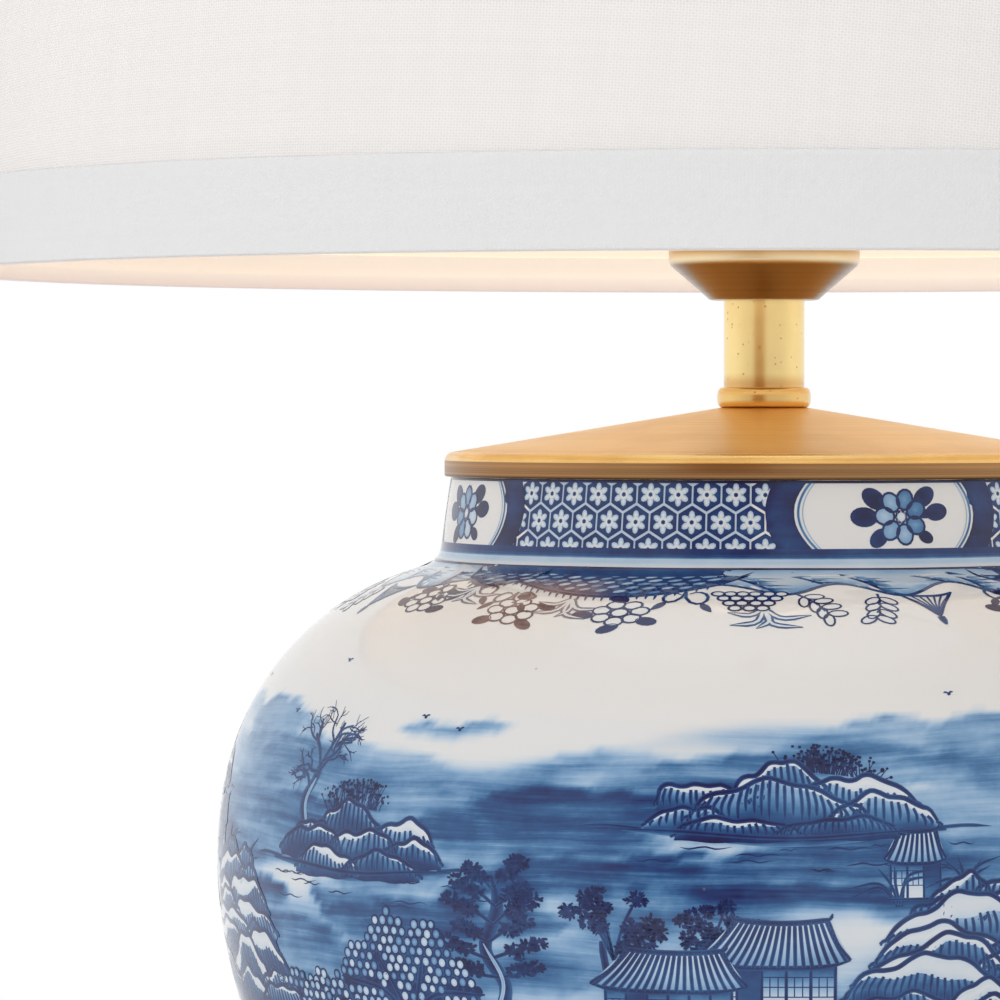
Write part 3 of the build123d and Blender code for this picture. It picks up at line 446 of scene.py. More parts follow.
painter = random.Random(77)
for azimuth in np.arange(-180, 180, 4.0):
    for _ in range(3):
        at = azimuth + painter.uniform(-3, 3)
        edge = float(np.interp(at % 360, np.degrees(grid_angle), sky_edge))
        drop = painter.random() ** 0.8 * 44
        wash_stroke(at, edge - 4 - drop, painter.uniform(24, 90), painter.uniform(4, 13),
                    painter.uniform(0.19, 0.38) + 0.006 * drop, painter.uniform(-2, 3), painter.uniform(-2.5, 2.5),
                    painter.choice((1, 1, -1)), painter.random() * 9)
for azimuth, height, length, wide, blue, bow in (
    (-66, 278, 46, 13, 0.42, -2), (-58, 285, 30, 10, 0.32, -3), (-34, 286, 44, 6, 0.40, 2), (-20, 268, 70, 9, 0.74, -3),
    (-24, 259, 92, 12, 0.62, -2), (-2, 279, 60, 7, 0.50, -2), (14, 287, 52, 12, 0.34, -4), (24, 286, 46, 16, 0.42, -3),
    (30, 276, 60, 12, 0.5, -2), (-14, 250, 60, 7, 0.72, 0), (8, 252, 80, 10, 0.64, 1), (6, 243, 90, 8, 0.72, 0),
    (-40, 232, 60, 10, 0.64, 1), (-56, 226, 60, 12, 0.58, 0), (34, 262, 50, 9, 0.6, 0),
):
    for turn in (0, 90, 180, -90):
        at = azimuth + turn + painter.uniform(-4, 4) * (turn != 0)
        wash_stroke(at, height, length, wide, blue, bow, painter.uniform(-1.5, 1.5), 1, painter.random() * 9)
for azimuth in np.arange(-180, 180, 6.0):
    for height in (218, 204, 190, 176, 162, 148, 132, 118, 104, 92):
        if painter.random() < 0.6:
            wash_stroke(azimuth + painter.uniform(-4, 4), height + painter.uniform(-6, 6), painter.uniform(30, 80),
                        painter.uniform(3, 9), painter.uniform(0.14, 0.46), painter.uniform(-1, 2),
                        painter.uniform(-2, 2), painter.choice((1, -1)), painter.random() * 9)
print("wash after the strokes, mean:", round(float(wash.mean()), 3))

# %% [markdown]
# ## Painting with a brush
# The blue is painted on the bare clay and the glaze runs over it. A picture can't be pasted on here, so each stroke
# is real geometry: a ribbon as thin as ink that lies a few hundredths of a millimetre proud of the wall and has the
# same glaze. A stroke starts as a line in millimetres on a flat sheet of paper, and Spot rolls the paper onto the wall.

# %% The brush
first_lift, lift_step = 0.03, 0.012  # how far the lowest strokes stand off the wall, and each layer off the one below
most_triangles = 190000  # in one mesh


class Spot:
    """A place to paint at: x runs to the right and y up the wall, in mm. over = -1 stands it on its head."""

    def __init__(self, azimuth, height, size=1.0, over=1):
        self.angle, self.climb, self.size, self.over = radians(azimuth), climb_at(height), size, over

    def roll(self, points):
        climb = self.climb + self.over * self.size * points[:, 1]
        return self.angle + self.size * points[:, 0] / radius_at(climb), climb


class Ink:
    """Strokes gathered for one mesh, and the halos that they leave in the wash."""

    def __init__(self):
        self.strokes, self.count, self.halo = [], 0, []

    def keep(self, angle, climb, blue, faces, layer):
        """Keeps one stroke: its points, the number that says how blue each is, and its triangles."""
        lift = np.full(len(angle), first_lift + lift_step * layer)
        self.strokes.append((faces, angle, climb, lift, np.broadcast_to(np.asarray(blue, float), len(angle))))
        self.count += len(angle)

    def add(self, spot, points, blue, faces, layer):
        self.keep(*spot.roll(points), blue, faces[:, ::-1] if spot.over < 0 else faces, layer)

    def dry(self, name, material):
        """Turns what was painted so far into meshes that aren't too large, and keeps only the halos."""
        chunks, size = [[]], 0
        for one in self.strokes:
            if size + len(one[0]) > most_triangles:
                chunks.append([])
                size = 0
            size += len(one[0])
            chunks[-1].append(one)
        for number, chunk in enumerate(chunks):
            faces, angle, *rest = zip(*chunk)
            first = np.concatenate([[0], np.cumsum([len(a) for a in angle])[:-1]])
            faces = np.concatenate([f + k for f, k in zip(faces, first)])
            angle, climb, lift, blue = (np.concatenate(x) for x in (angle, *rest))
            own_name = f"{name}_{number + 1}" if len(chunks) > 1 else name
            made = piece(own_name, on_wall(angle, climb, lift), faces, material, "lamp", cobalt=blue)
            print(made.name, "triangles:", len(faces))
        self.strokes, self.count = [], 0


ink = Ink()
strip_faces = {}


def split_quads(quads):
    """Two triangles for each face of four corners."""
    return np.concatenate([quads[:, [0, 1, 2]], quads[:, [0, 2, 3]]])


def strip(rows, columns):
    """Triangles of a grid of points, rows by columns, kept for the next stroke of that size."""
    if (rows, columns) not in strip_faces:
        corner = (np.arange(rows - 1)[:, None] * columns + np.arange(columns - 1)[None]).ravel()
        quads = np.stack([corner, corner + 1, corner + columns + 1, corner + columns], -1)
        strip_faces[rows, columns] = split_quads(quads)
    return strip_faces[rows, columns]


def flowing(points, step=1.3):
    """A smooth line through a few points, with a point every step mm."""
    p = np.asarray(points, float)
    length = np.hypot(*np.diff(p, axis=0).T)
    count = max(4, int(length.sum() / step) + 2)
    if len(p) == 2:
        return p[0] + (p[1] - p[0]) * np.linspace(0, 1, max(3, count // 2))[:, None]
    before, after = 2 * p[0] - p[1], 2 * p[-1] - p[-2]
    q = np.vstack([before, p, after])
    place = np.linspace(0, len(p) - 1 - 1e-9, count)
    i = place.astype(int)
    t = (place - i)[:, None]
    a, b, c, d = q[i], q[i + 1], q[i + 2], q[i + 3]
    return 0.5 * (2 * b + (c - a) * t + (2 * a - 5 * b + 4 * c - d) * t * t + (3 * b - a - 3 * c + d) * t**3)


def stroke(spot, points, width, blue=0.92, ends=(0.35, 0.2), layer=1, step=1.3):
    """One brush stroke: a line, its width in mm, its depth of blue, and how wide its two ends stay."""
    line = flowing(points, step)
    way = np.gradient(line, axis=0)
    way /= np.maximum(np.hypot(*way.T), 1e-9)[:, None]
    side = np.stack([-way[:, 1], way[:, 0]], -1)
    t = np.linspace(0, 1, len(line))
    swell = np.minimum(1, np.minimum(ends[0] + t * 5, ends[1] + (1 - t) * 3))
    half = (width / 2 * swell)[:, None] * side
    if width * spot.size < 0.45:
        rows = np.stack([line + half, line - half], 1)
        tone = blue
    else:
        rows = np.stack([line + 1.2 * half, line, line - 1.2 * half], 1)
        tone = np.tile([0.66 * blue, blue, 0.66 * blue], len(line))
    ink.add(spot, rows.reshape(-1, 2), tone, strip(len(line), rows.shape[1]), layer)
    ink.halo.append((*spot.roll(line[::2]), np.full(len(line[::2]), width * spot.size)))


def fill(spot, low, high, blues, layer=0):
    """Wash between two lines of the same number of points; blues run from the low line to the high one."""
    low, high = (np.asarray(x, float) for x in (low, high))
    step = 2.2
    count = max(3, int(np.hypot(*np.diff(low, axis=0).T).sum() / step) + 2, len(low))
    place = np.linspace(0, len(low) - 1, count)
    low, high = (np.stack([np.interp(place, np.arange(len(x)), x[:, i]) for i in (0, 1)], -1) for x in (low, high))
    tall = np.hypot(*(high - low).T).max()
    rows = max(len(blues), int(tall / 3) + 2)
    t = np.linspace(0, 1, rows)
    points = low[None] + (high - low)[None] * t[:, None, None]
    tone = np.repeat(np.interp(t, np.linspace(0, 1, len(blues)), blues), count)
    ink.add(spot, points.reshape(-1, 2), tone, strip(rows, count), layer)


def ovals(centres, wide, high, turns, sides):
    """The outlines of many ovals: one row of points for each centre."""
    a = np.arange(sides) / sides * 2 * pi
    x, y = np.cos(a)[None] * wide[:, None], np.sin(a)[None] * high[:, None]
    c, s = np.cos(turns)[:, None], np.sin(turns)[:, None]
    return np.stack([x * c - y * s, x * s + y * c], -1) + centres[:, None]


def dabs(spot, centres, wide, high, turns=0.0, blue=0.9, edge=None, layer=1, sides=8):
    """Many small oval dabs at once, each of its own size, turn and depth of blue."""
    centres = np.atleast_2d(np.asarray(centres, float))
    k = len(centres)
    edge = blue if edge is None else edge
    wide, high, turns, blue, edge = (np.broadcast_to(np.asarray(x, float), k) for x in (wide, high, turns, blue, edge))
    points = np.concatenate([centres[:, None], ovals(centres, wide, high, turns, sides)], 1).reshape(-1, 2)
    tone = np.concatenate([blue[:, None], np.repeat(edge[:, None], sides, 1)], 1).ravel()
    fan = np.stack([np.zeros(sides, int), 1 + np.arange(sides), 1 + (np.arange(sides) + 1) % sides], -1)
    faces = (fan[None] + (np.arange(k) * (sides + 1))[:, None, None]).reshape(-1, 3)
    ink.add(spot, points, tone, faces, layer)
    ink.halo.append((*spot.roll(centres), 2.0 * np.sqrt(wide * high) * spot.size * (np.maximum(edge, blue) > 0.4)))


def loops(spot, centres, wide, high, width, blue=0.92, turns=0.0, layer=1, sides=12):
    """Many small closed rings at once, such as the outline of a petal or a berry."""
    centres = np.atleast_2d(np.asarray(centres, float))
    k = len(centres)
    wide, high, turns = (np.broadcast_to(np.asarray(x, float), k) for x in (wide, high, turns))
    rings = [ovals(centres, wide + side * width, high + side * width, turns, sides) for side in (0.5, -0.5)]
    points = np.stack(rings, 2).reshape(-1, 2)
    i = np.arange(sides)
    j = (i + 1) % sides
    one_ring = split_quads(np.stack([2 * i, 2 * j, 2 * j + 1, 2 * i + 1], -1))
    faces = (one_ring[None] + (np.arange(k) * 2 * sides)[:, None, None]).reshape(-1, 3)
    ink.add(spot, points, blue, faces, layer)
    ink.halo.append((*spot.roll(centres), 1.5 * np.sqrt(wide * high) * spot.size))


print("brush ready")


# %% [markdown]
# ## What the painter paints
# A river scene in the old blue-and-white manner is put together from a few stock figures that every workshop knew:
# mounds of rock, bare and leafy trees, reeds, roofs by the water and birds. Each figure is one short function with a
# seed, so that no two come out the same, and the scene is then laid out afresh round the jar.

# %% Rocks
def mound(spot, x, y, wide, tall, lean, seed, layer, cap, blue):
    """One rock: a white cap under a dark outline, a blue flank with teeth of shadow, and a darker foot."""
    rock = random.Random(seed)
    t = np.linspace(0, 1, 15)
    bulge = np.sin(pi * t ** rock.uniform(0.75, 1.3)) ** 0.55
    lumps = 1 + 0.11 * np.sin(3 * pi * t + rock.uniform(0, 6)) + 0.07 * np.sin(7 * pi * t + rock.uniform(0, 6))
    bulge = bulge * lumps
    top = np.stack([x + (t - 0.5) * wide + lean * bulge, y + tall * bulge], -1)
    low_y = y - 0.22 * tall - 0.10 * tall * np.sin(pi * t) + 0.04 * tall * np.sin(5 * pi * t)
    low = np.stack([x + (t - 0.5) * wide * 0.97 + 0.5 * lean, low_y], -1)
    depth = tall * np.clip(cap * (1 + 0.5 * np.sin(2 * pi * t + rock.uniform(0, 6))), 0.0, 0.6) * np.sin(pi * t) ** 0.5
    under = np.stack([top[:, 0], top[:, 1] - depth], -1)
    fill(spot, low, under, [min(blue + 0.30, 0.95), blue + 0.22, blue + 0.06, blue - 0.14], layer=2 * layer)
    if cap > 0.02:
        fill(spot, under, top, [0.16, 0.03, 0.14], layer=2 * layer)
    pitch = 1.8 * rock.uniform(0.9, 1.15)
    count = max(3, int(wide / pitch))
    for i in range(count):
        at = (i + 0.5 + rock.uniform(-0.1, 0.1)) / count
        head = np.array([np.interp(at, t, under[:, 0]), np.interp(at, t, under[:, 1])])
        head = head + (0, rock.uniform(-0.2, 0.7) if cap > 0.02 else -0.4)
        down = (head[1] - y) * rock.uniform(0.6, 0.9) + 0.10 * tall
        foot_at = head + ((at - 0.5) * 0.10 * wide - 0.12 * lean, -max(down, 0.8))
        middle = (head + foot_at) / 2 + ((at - 0.5) * 0.05 * wide, 0)
        stroke(spot, [head, middle, foot_at], rock.uniform(0.8, 0.94), 0.90, (0.8, 0.45), 2 * layer + 1)
    stroke(spot, top, 1.2, 0.97, (0.6, 0.6), 2 * layer + 1)


def rocks(spot, rows, seed, layer):
    """Rows of mounds from the back to the front. A row is its y, its left and right end, how many and how tall."""
    hand = random.Random(seed)
    for row, (y, left, right, count, tall) in enumerate(rows):
        shares = np.array([hand.uniform(0.7, 1.45) for _ in range(count)])
        ends = left + (right - left) * np.concatenate([[0], np.cumsum(shares / shares.sum())])
        order = list(range(count))
        hand.shuffle(order)
        for place in order:
            middle, width = (ends[place] + ends[place + 1]) / 2, ends[place + 1] - ends[place]
            side = abs(place - (count - 1) / 2) / max(count / 2, 1)
            height = tall * hand.uniform(0.85, 1.2) * (1 - 0.32 * side) * min(1.2, max(0.75, width / (2.3 * tall)))
            mound(spot, middle, y - 1.5 * side + hand.uniform(-0.8, 0.8), width * hand.uniform(1.28, 1.5), height,
                  hand.uniform(-0.12, 0.12) * width, hand.random(), layer + row,
                  hand.choice((0.0, 0.14, 0.24, 0.34, 0.42)), hand.uniform(0.42, 0.64))
    return layer + len(rows)


def shrubs(spot, left, right, y, tall, seed=0, layer=4, bend=None):
    """Low bushes behind a rock, in clumps: fine stems with a dot at the end of each."""
    hand = random.Random(seed)
    dots, clumps = [], [hand.uniform(0.08, 0.92) for _ in range(max(2, int((right - left) / 9)))]
    for _ in range(int((right - left) * 4.2)):
        centre = hand.choice(clumps)
        at = min(max(hand.gauss(centre, 2.6 / (right - left)), 0), 1)
        x = left + at * (right - left)
        base = y + (bend(at) if bend else 0.0) - 1.0
        angle = hand.gauss(pi / 2 + (centre - at) * 4, 0.32)
        reach = tall * hand.uniform(0.2, 1.0) * (0.6 + 0.4 * sin(pi * at)) + 1.0
        tip = (x + reach * cos(angle), base + reach * sin(angle))
        if hand.random() < 0.4:
            stroke(spot, [(x, base), tip], 0.34, 0.88, (1, 0.7), layer, 3)
        dots.append(tip)
    size = np.array([hand.uniform(0.34, 0.62) for _ in dots])
    dabs(spot, dots, size, size * 0.9, 0, 0.95, layer=layer, sides=6)


# %% Trees and reeds
def branch(spot, start, angle, length, width, depth, hand, layer):
    """A bare branch that forks depth times."""
    bend = hand.uniform(-0.35, 0.35)
    middle = (start[0] + 0.5 * length * cos(angle + bend), start[1] + 0.5 * length * sin(angle + bend))
    tip = (start[0] + length * cos(angle), start[1] + length * sin(angle))
    stroke(spot, [start, middle, tip], max(width, 0.26), 0.9, (1, 0.65), layer)
    if depth:
        for _ in range(hand.choice((2, 3, 3))):
            along = hand.uniform(0.45, 1.0)
            fork = (start[0] + (tip[0] - start[0]) * along, start[1] + (tip[1] - start[1]) * along)
            turn = hand.choice((-1, 1)) * hand.uniform(0.25, 0.85)
            branch(spot, fork, angle + turn, length * hand.uniform(0.5, 0.72), width * 0.62, depth - 1, hand, layer)


def bare_tree(spot, tall, seed, layer):
    """A crooked trunk with a pale side, and six branches that fork."""
    hand = random.Random(seed)
    trunk = [(0, 0), (-0.06 * tall, 0.2 * tall), (0.05 * tall, 0.38 * tall), (0.1 * tall, 0.55 * tall)]
    stroke(spot, trunk, 0.085 * tall, 0.9, (1, 0.5), layer)
    pale_side = [(0.03 * tall, 0.02 * tall), (-0.02 * tall, 0.2 * tall), (0.07 * tall, 0.4 * tall)]
    stroke(spot, pale_side, 0.03 * tall, 0.4, (0.5, 0.3), layer + 1)
    for share, angle, reach in ((0.30, 2.5, 0.26), (0.42, 0.7, 0.28), (0.5, 2.1, 0.36), (0.55, 1.35, 0.38),
                                (0.55, 0.75, 0.34), (0.46, 2.75, 0.2)):
        start = (np.interp(share, [0, 0.2, 0.38, 0.55], [p[0] for p in trunk]), share * tall)
        branch(spot, start, angle + hand.uniform(-0.2, 0.2), reach * tall, 0.032 * tall, 3, hand, layer)


def foliage(spot, places, spread, seed, layer, leaf_long=0.75, leaves=34, flat=0.72):
    """Clumps of leaves: a dark heart and a ragged edge of small dabs that point away from it."""
    hand = random.Random(seed)
    heart = [(x + hand.gauss(0, 0.32 * spread), y + hand.gauss(0, 0.26 * spread)) for x, y in places for _ in range(7)]
    size = np.array([hand.uniform(0.16, 0.34) * spread for _ in heart])
    dabs(spot, heart, size, size * flat, 0, 0.88, 0.80, layer=layer, sides=8)
    tips, turns, sizes = [], [], []
    for x, y in places:
        for _ in range(leaves):
            angle, reach = hand.uniform(0, 2 * pi), hand.uniform(0.25, 1.0) ** 0.6 * spread * 0.82
            tips.append((x + reach * cos(angle), y + flat * reach * sin(angle)))
            turns.append(angle + hand.uniform(-0.6, 0.6))
            sizes.append(leaf_long * hand.uniform(0.7, 1.3))
    sizes = np.array(sizes)
    dabs(spot, tips, sizes, sizes * 0.46, turns, 0.95, 0.86, layer=layer + 1, sides=6)


def leafy_tree(spot, tall, seed=0, layer=6, spread=0.5):
    """A forked trunk under a round crown of dark clumps with light between them."""
    hand = random.Random(seed)
    for side in (-0.03, 0.035):
        trunk = [(side * tall, 0), (side * tall * 1.6, 0.2 * tall), (side * tall * 3.2, 0.52 * tall)]
        stroke(spot, trunk, 0.055 * tall, 0.95, (1, 0.6), layer)
    clumps = []
    for _ in range(17):
        angle, reach = hand.uniform(0, 2 * pi), math.sqrt(hand.random())
        clumps.append((spread * tall * 0.85 * reach * cos(angle), 0.70 * tall + 0.26 * tall * reach * sin(angle)))
    for place in clumps[:8]:
        limb = [(0.01 * tall, 0.36 * tall), (place[0] * 0.45, (0.42 * tall + place[1]) / 2), place]
        stroke(spot, limb, 0.026 * tall, 0.94, (1, 0.4), layer)
    foliage(spot, clumps, 0.115 * tall, seed + 1, layer + 1)


def layered_tree(spot, tall, seed=0, layer=6):
    """A crooked trunk, and branches that carry flat clumps of hanging leaves, one above the other."""
    hand = random.Random(seed)
    trunk = [(0, 0), (0.07 * tall, 0.22 * tall), (-0.05 * tall, 0.45 * tall),
             (0.04 * tall, 0.7 * tall), (0, 0.9 * tall)]
    stroke(spot, trunk, 0.075 * tall, 0.95, (1, 0.3), layer)
    stroke(spot, [(x - 0.012 * tall, y + 0.03 * tall) for x, y in trunk[:3]], 0.02 * tall, 0.35, (0.6, 0.3), layer + 1)
    clumps = []
    for y, reach in ((0.93, 0.16), (0.82, 0.26), (0.70, 0.34), (0.58, 0.30), (0.46, 0.36), (0.34, 0.30)):
        for side in (-1, 1):
            out = side * reach * hand.uniform(0.7, 1.15)
            root = (np.interp(y * 0.9, [p[1] / tall for p in trunk], [p[0] for p in trunk]), (y * 0.9 - 0.03) * tall)
            end = (out * tall, (y + hand.uniform(-0.02, 0.05)) * tall)
            stroke(spot, [root, ((root[0] + end[0]) / 2, end[1] - 0.045 * tall), end], 0.9, 0.95, (1, 0.4), layer)
            for along in (0.55, 0.8, 1.02):
                x, z = (root[i] + (end[i] - root[i]) * along for i in (0, 1))
                clumps.append((x, z + 0.01 * tall))
    foliage(spot, clumps, 0.085 * tall, seed + 1, layer + 1, 0.95, 22, 0.55)


def bubble_bush(spot, wide, tall, seed, layer):
    """Foliage as a heap of pale rings on dark blue, each ring drawn round a leaf cluster, with branches through it."""
    hand, pitch = random.Random(seed), 3.05
    t = np.linspace(0, 1, 25)
    lumps = 1 + 0.16 * np.abs(np.sin(3.5 * pi * t + hand.uniform(0, 3))) - 0.08
    top = np.stack([(t - 0.5) * wide, tall * np.sin(pi * t) ** 0.42 * lumps], -1)
    low = np.stack([(t - 0.5) * wide * 0.96, np.full(25, -0.04 * tall)], -1)
    fill(spot, low, top * (1, 0.96), [0.80, 0.72, 0.62], layer=2 * layer)
    centres = []
    for row in range(int(tall * 1.15 / (pitch * 0.86)) + 1):
        y = (row + 0.4) * pitch * 0.86
        for column in range(int(wide / pitch) + 2):
            x = -wide / 2 + (column + 0.5 * (row % 2)) * pitch
            if y < np.interp(x, top[:, 0], top[:, 1]) and abs(x) < wide / 2:
                centres.append((x + hand.uniform(-0.3, 0.3), y + hand.uniform(-0.3, 0.3)))
    limbs = []
    for angle in (0.7, 1.2, 1.75, 2.35):
        angle += hand.uniform(-0.15, 0.15)
        limbs.append([(0, 0), (0.3 * tall * cos(angle) + hand.uniform(-2, 2), 0.35 * tall),
                      (0.75 * tall * cos(angle) * 1.3, 0.72 * tall * sin(angle))])
    centres = np.array(centres)
    gaps = [centres[:, None] - flowing(limb, 2.0)[None] for limb in limbs]
    near = np.min([np.min(np.hypot(*gap.transpose(2, 0, 1)), axis=1) for gap in gaps], axis=0)
    size = np.array([hand.uniform(0.98, 1.26) for _ in centres])
    blue = np.array([hand.choice((0.08, 0.14, 0.22, 0.34)) for _ in centres])
    open_ = near > 1.3
    dabs(spot, centres, size + 0.42, size * 1.1 + 0.42, 0, 0.92, 0.86, layer=2 * layer, sides=10)
    centres, size, blue = centres[open_], size[open_], blue[open_]
    dabs(spot, centres, size * 0.9, size, 0, blue, blue + 0.16, layer=2 * layer + 1, sides=10)
    for limb in limbs:
        stroke(spot, limb, 1.5, 0.97, (1, 0.3), 2 * layer + 1)


def reeds(spot, count, reach, seed=0, layer=4, fan=1.2, toward=pi / 2):
    """Long curved blades from one root."""
    hand = random.Random(seed)
    for _ in range(count):
        angle, length = toward + hand.uniform(-fan, fan), reach * hand.uniform(0.55, 1.1)
        bend = (angle - toward) * 0.35
        middle = (0.55 * length * cos(angle - bend), 0.55 * length * sin(angle - bend))
        tip = (length * cos(angle + bend), length * sin(angle + bend))
        stroke(spot, [(hand.uniform(-1, 1), 0), middle, tip], 0.75, 0.92, (0.7, 0.1), layer)


print("rocks and trees ready")

# %% Houses, birds and water
def roof(spot, wide, tall, y, layer):
    """A tiled roof: eaves that sweep up at both ends, slanted rows of tiles and a ridge with horns."""
    t = np.linspace(-1, 1, 13)
    eaves = np.stack([t * wide / 2, y + 0.16 * tall * t**4], -1)
    ridge = np.stack([(t * 0.60 + 0.10) * wide / 2, y + tall * (0.92 + 0.07 * t**2)], -1)
    fill(spot, eaves, ridge, [0.42, 0.22, 0.08], layer=2 * layer)
    count = max(6, int(wide / 2.3))
    for i in range(count):
        at = -1 + 2 * (i + 0.5) / count
        low, high = (np.array([np.interp(at, t, edge[:, i]) for i in (0, 1)]) for edge in (eaves, ridge))
        stroke(spot, [low, (low + high) / 2 - (0, 0.05 * tall), high], 0.94, 0.92, (1, 0.8), 2 * layer + 1)
    stroke(spot, eaves, 1.25, 0.98, (0.35, 0.35), 2 * layer + 1)
    stroke(spot, ridge, 1.3, 0.98, (0.8, 0.8), 2 * layer + 1)
    for side, end in ((-1, 0), (1, -1)):
        horn = [ridge[end], ridge[end] + (side * 0.9, 0.5), ridge[end] + (side * 1.3, 1.7)]
        stroke(spot, horn, 0.8, 0.98, (1, 0.4), 2 * layer + 1)
        edge = [eaves[end], (eaves[end] + ridge[end]) / 2 - (side * 0.4, 0.08 * tall), ridge[end]]
        stroke(spot, edge, 0.9, 0.98, (0.8, 0.8), 2 * layer + 1)


def pavilion(spot, wide, tall, seed=0, layer=6, bays=4):
    """An open hall: roof, posts, pale screens with a lattice, and a stone step."""
    hand = random.Random(seed)
    inside = wide * 0.80
    body = tall * 0.52
    t = np.linspace(-0.5, 0.5, 5)
    floor = np.stack([t * inside, 0 * t], -1)
    fill(spot, floor, floor + (0, body), [0.05, 0.10, 0.4, 0.72], layer=2 * layer - 2)
    for i in range(bays + 1):
        x = (i / bays - 0.5) * inside
        stroke(spot, [(x, 0), (x, body)], 0.8, 0.94, (1, 1), 2 * layer - 1)
    dark = hand.randrange(bays)
    for i in range(bays):
        left = (i / bays - 0.5) * inside
        step = inside / bays
        if i == dark:
            low, high = ([(left + 0.4, y), (left + step - 0.4, y)] for y in (0.3, body))
            fill(spot, low, high, [0.55, 0.8], layer=2 * layer - 1)
            continue
        for k in range(1, 4):
            y = body * (0.18 + 0.2 * k)
            stroke(spot, [(left + 0.3, y), (left + step - 0.3, y)], 0.34, 0.8, (1, 1), 2 * layer - 1)
        for k in range(1, 3):
            x = left + step * k / 3
            stroke(spot, [(x, body * 0.38), (x, body * 0.78)], 0.34, 0.8, (1, 1), 2 * layer - 1)
    stroke(spot, [(-inside / 2 - 1.5, 0), (inside / 2 + 1.5, 0)], 0.9, 0.92, (0.6, 0.6), 2 * layer)
    stroke(spot, [(-inside / 2 - 3, -1.5), (inside / 2 + 3, -1.7)], 0.5, 0.7, (0.4, 0.2), 2 * layer)
    roof(spot, wide, tall * 0.50, body - 0.02 * tall, layer)


def bird(spot):
    """A far bird: two wings and a body."""
    wide, layer = 3.0, 3
    stroke(spot, [(-wide / 2, 0.5), (-wide / 5, 0.75), (0, 0)], 0.55, 0.85, (0.3, 0.8), layer)
    stroke(spot, [(wide / 2, 0.8), (wide / 5, 0.8), (0, 0)], 0.55, 0.85, (0.3, 0.8), layer)
    dabs(spot, [(0.1, 0)], 0.6, 0.34, 0.3, 0.9, layer=layer, sides=6)


def ripples(spot, wide, tall, count, seed=0, layer=1, blue=0.85):
    """Short wavy lines of water, drawn level."""
    hand = random.Random(seed)
    for _ in range(count):
        x, y, reach = hand.uniform(-wide / 2, wide / 2), hand.uniform(-tall, 0), hand.uniform(5, 15)
        line = [(x + reach * i / 6, y + 0.35 * sin(i * 1.9 + x)) for i in range(7)]
        stroke(spot, line, hand.uniform(0.34, 0.44), blue * hand.uniform(0.9, 1.1), (0.2, 0.1), layer)


def boat(spot, wide, layer):
    """A small boat with a round cabin and a pole."""
    t = np.linspace(-1, 1, 9)
    low = np.stack([t * wide * 0.36, 0.03 * wide * t**2], -1)
    high = np.stack([t * wide / 2, 0.09 * wide + 0.05 * wide * t**4], -1)
    fill(spot, low, high, [0.85, 0.45], layer=2 * layer)
    stroke(spot, high, 0.8, 0.95, (0.5, 0.5), 2 * layer + 1)
    t = np.linspace(-1, 1, 7)
    deck, arch = 0.1 * wide, wide * (1 - t**2) ** 0.5
    cabin = np.stack([t * wide * 0.15, deck + 0.12 * arch], -1)
    fill(spot, np.stack([t * wide * 0.17, 0 * t + deck], -1), cabin, [0.3, 0.6], layer=2 * layer)
    stroke(spot, np.stack([t * wide * 0.17, deck + 0.13 * arch], -1), 0.6, 0.95, (1, 1), 2 * layer + 1)
    stroke(spot, [(wide * 0.3, 0.1 * wide), (wide * 0.42, 0.5 * wide)], 0.5, 0.9, (1, 0.6), 2 * layer + 1)


print("houses, birds and water ready")

# %% [markdown]
# ## The borders
# The neck carries the usual border of its kind: white panels with a flower between thick brackets, and between the
# panels a net of six-sided cells with a small flower in each. A net repeats, so Geometry Nodes makes it: one cell is
# drawn flat, a grid of points carries copies of it, and the whole sheet is then bent round the cone of the neck.
# The shoulder's border hangs from a line under the neck: rocks on their heads, scales, hatching, flowers and leaves.

# %% One cell of the net, flat, in mm
cell_wide, row_pitch, net_rows, cells_in_row, repeats = 8.6, 7.9, 3, 11, 4
cell_points, cell_faces, cell_blue = [], [], []


def flat_fan(centre, points, middle_blue, rim_blue, height):
    """A flat face round a middle point, with one depth of blue in the middle and another along the rim."""
    first, count = len(cell_points), len(points)
    cell_points.extend((x, y, height) for x, y in [centre, *points])
    cell_blue.extend([middle_blue] + [rim_blue] * count)
    cell_faces.extend((first, first + 1 + i, first + 1 + (i + 1) % count) for i in range(count))


def ring_of(count, radius):
    return [(radius * sin(q), radius * cos(q)) for q in np.linspace(2 * pi, 0, count + 1)[:-1]]


corner = cell_wide / 2 / cos(pi / 6) * 0.94
flat_fan((0, 0), [(corner * sin(k * pi / 3), corner * 1.03 * cos(k * pi / 3)) for k in range(6)][::-1], 0.66, 0.86, 0.0)
petal_reach, petal_long, petal_wide = 2.0, 1.42, 0.94
for k in range(6):
    s, c = sin(k * pi / 3), cos(k * pi / 3)
    petal = [((petal_reach + petal_long * x) * s + petal_wide * y * c,
              (petal_reach + petal_long * x) * c - petal_wide * y * s) for y, x in ring_of(8, 1.0)]
    flat_fan((petal_reach * s, petal_reach * c), petal, 0.02, 0.26, 0.02)
flat_fan((0, 0), ring_of(7, 1.5), 0.03, 0.08, 0.03)
flat_fan((0, 0), ring_of(6, 0.72), 0.95, 0.6, 0.04)
cell_mesh = bpy.data.meshes.new("net_cell")
cell_mesh.from_pydata((np.array(cell_points) * MM).tolist(), [], cell_faces)
cell_mesh.attributes.new("cobalt", "FLOAT", "POINT").data.foreach_set("value", np.array(cell_blue, np.float32))
cell_object = bpy.data.objects.new("net_cell", cell_mesh)
print("one cell has faces:", len(cell_faces))


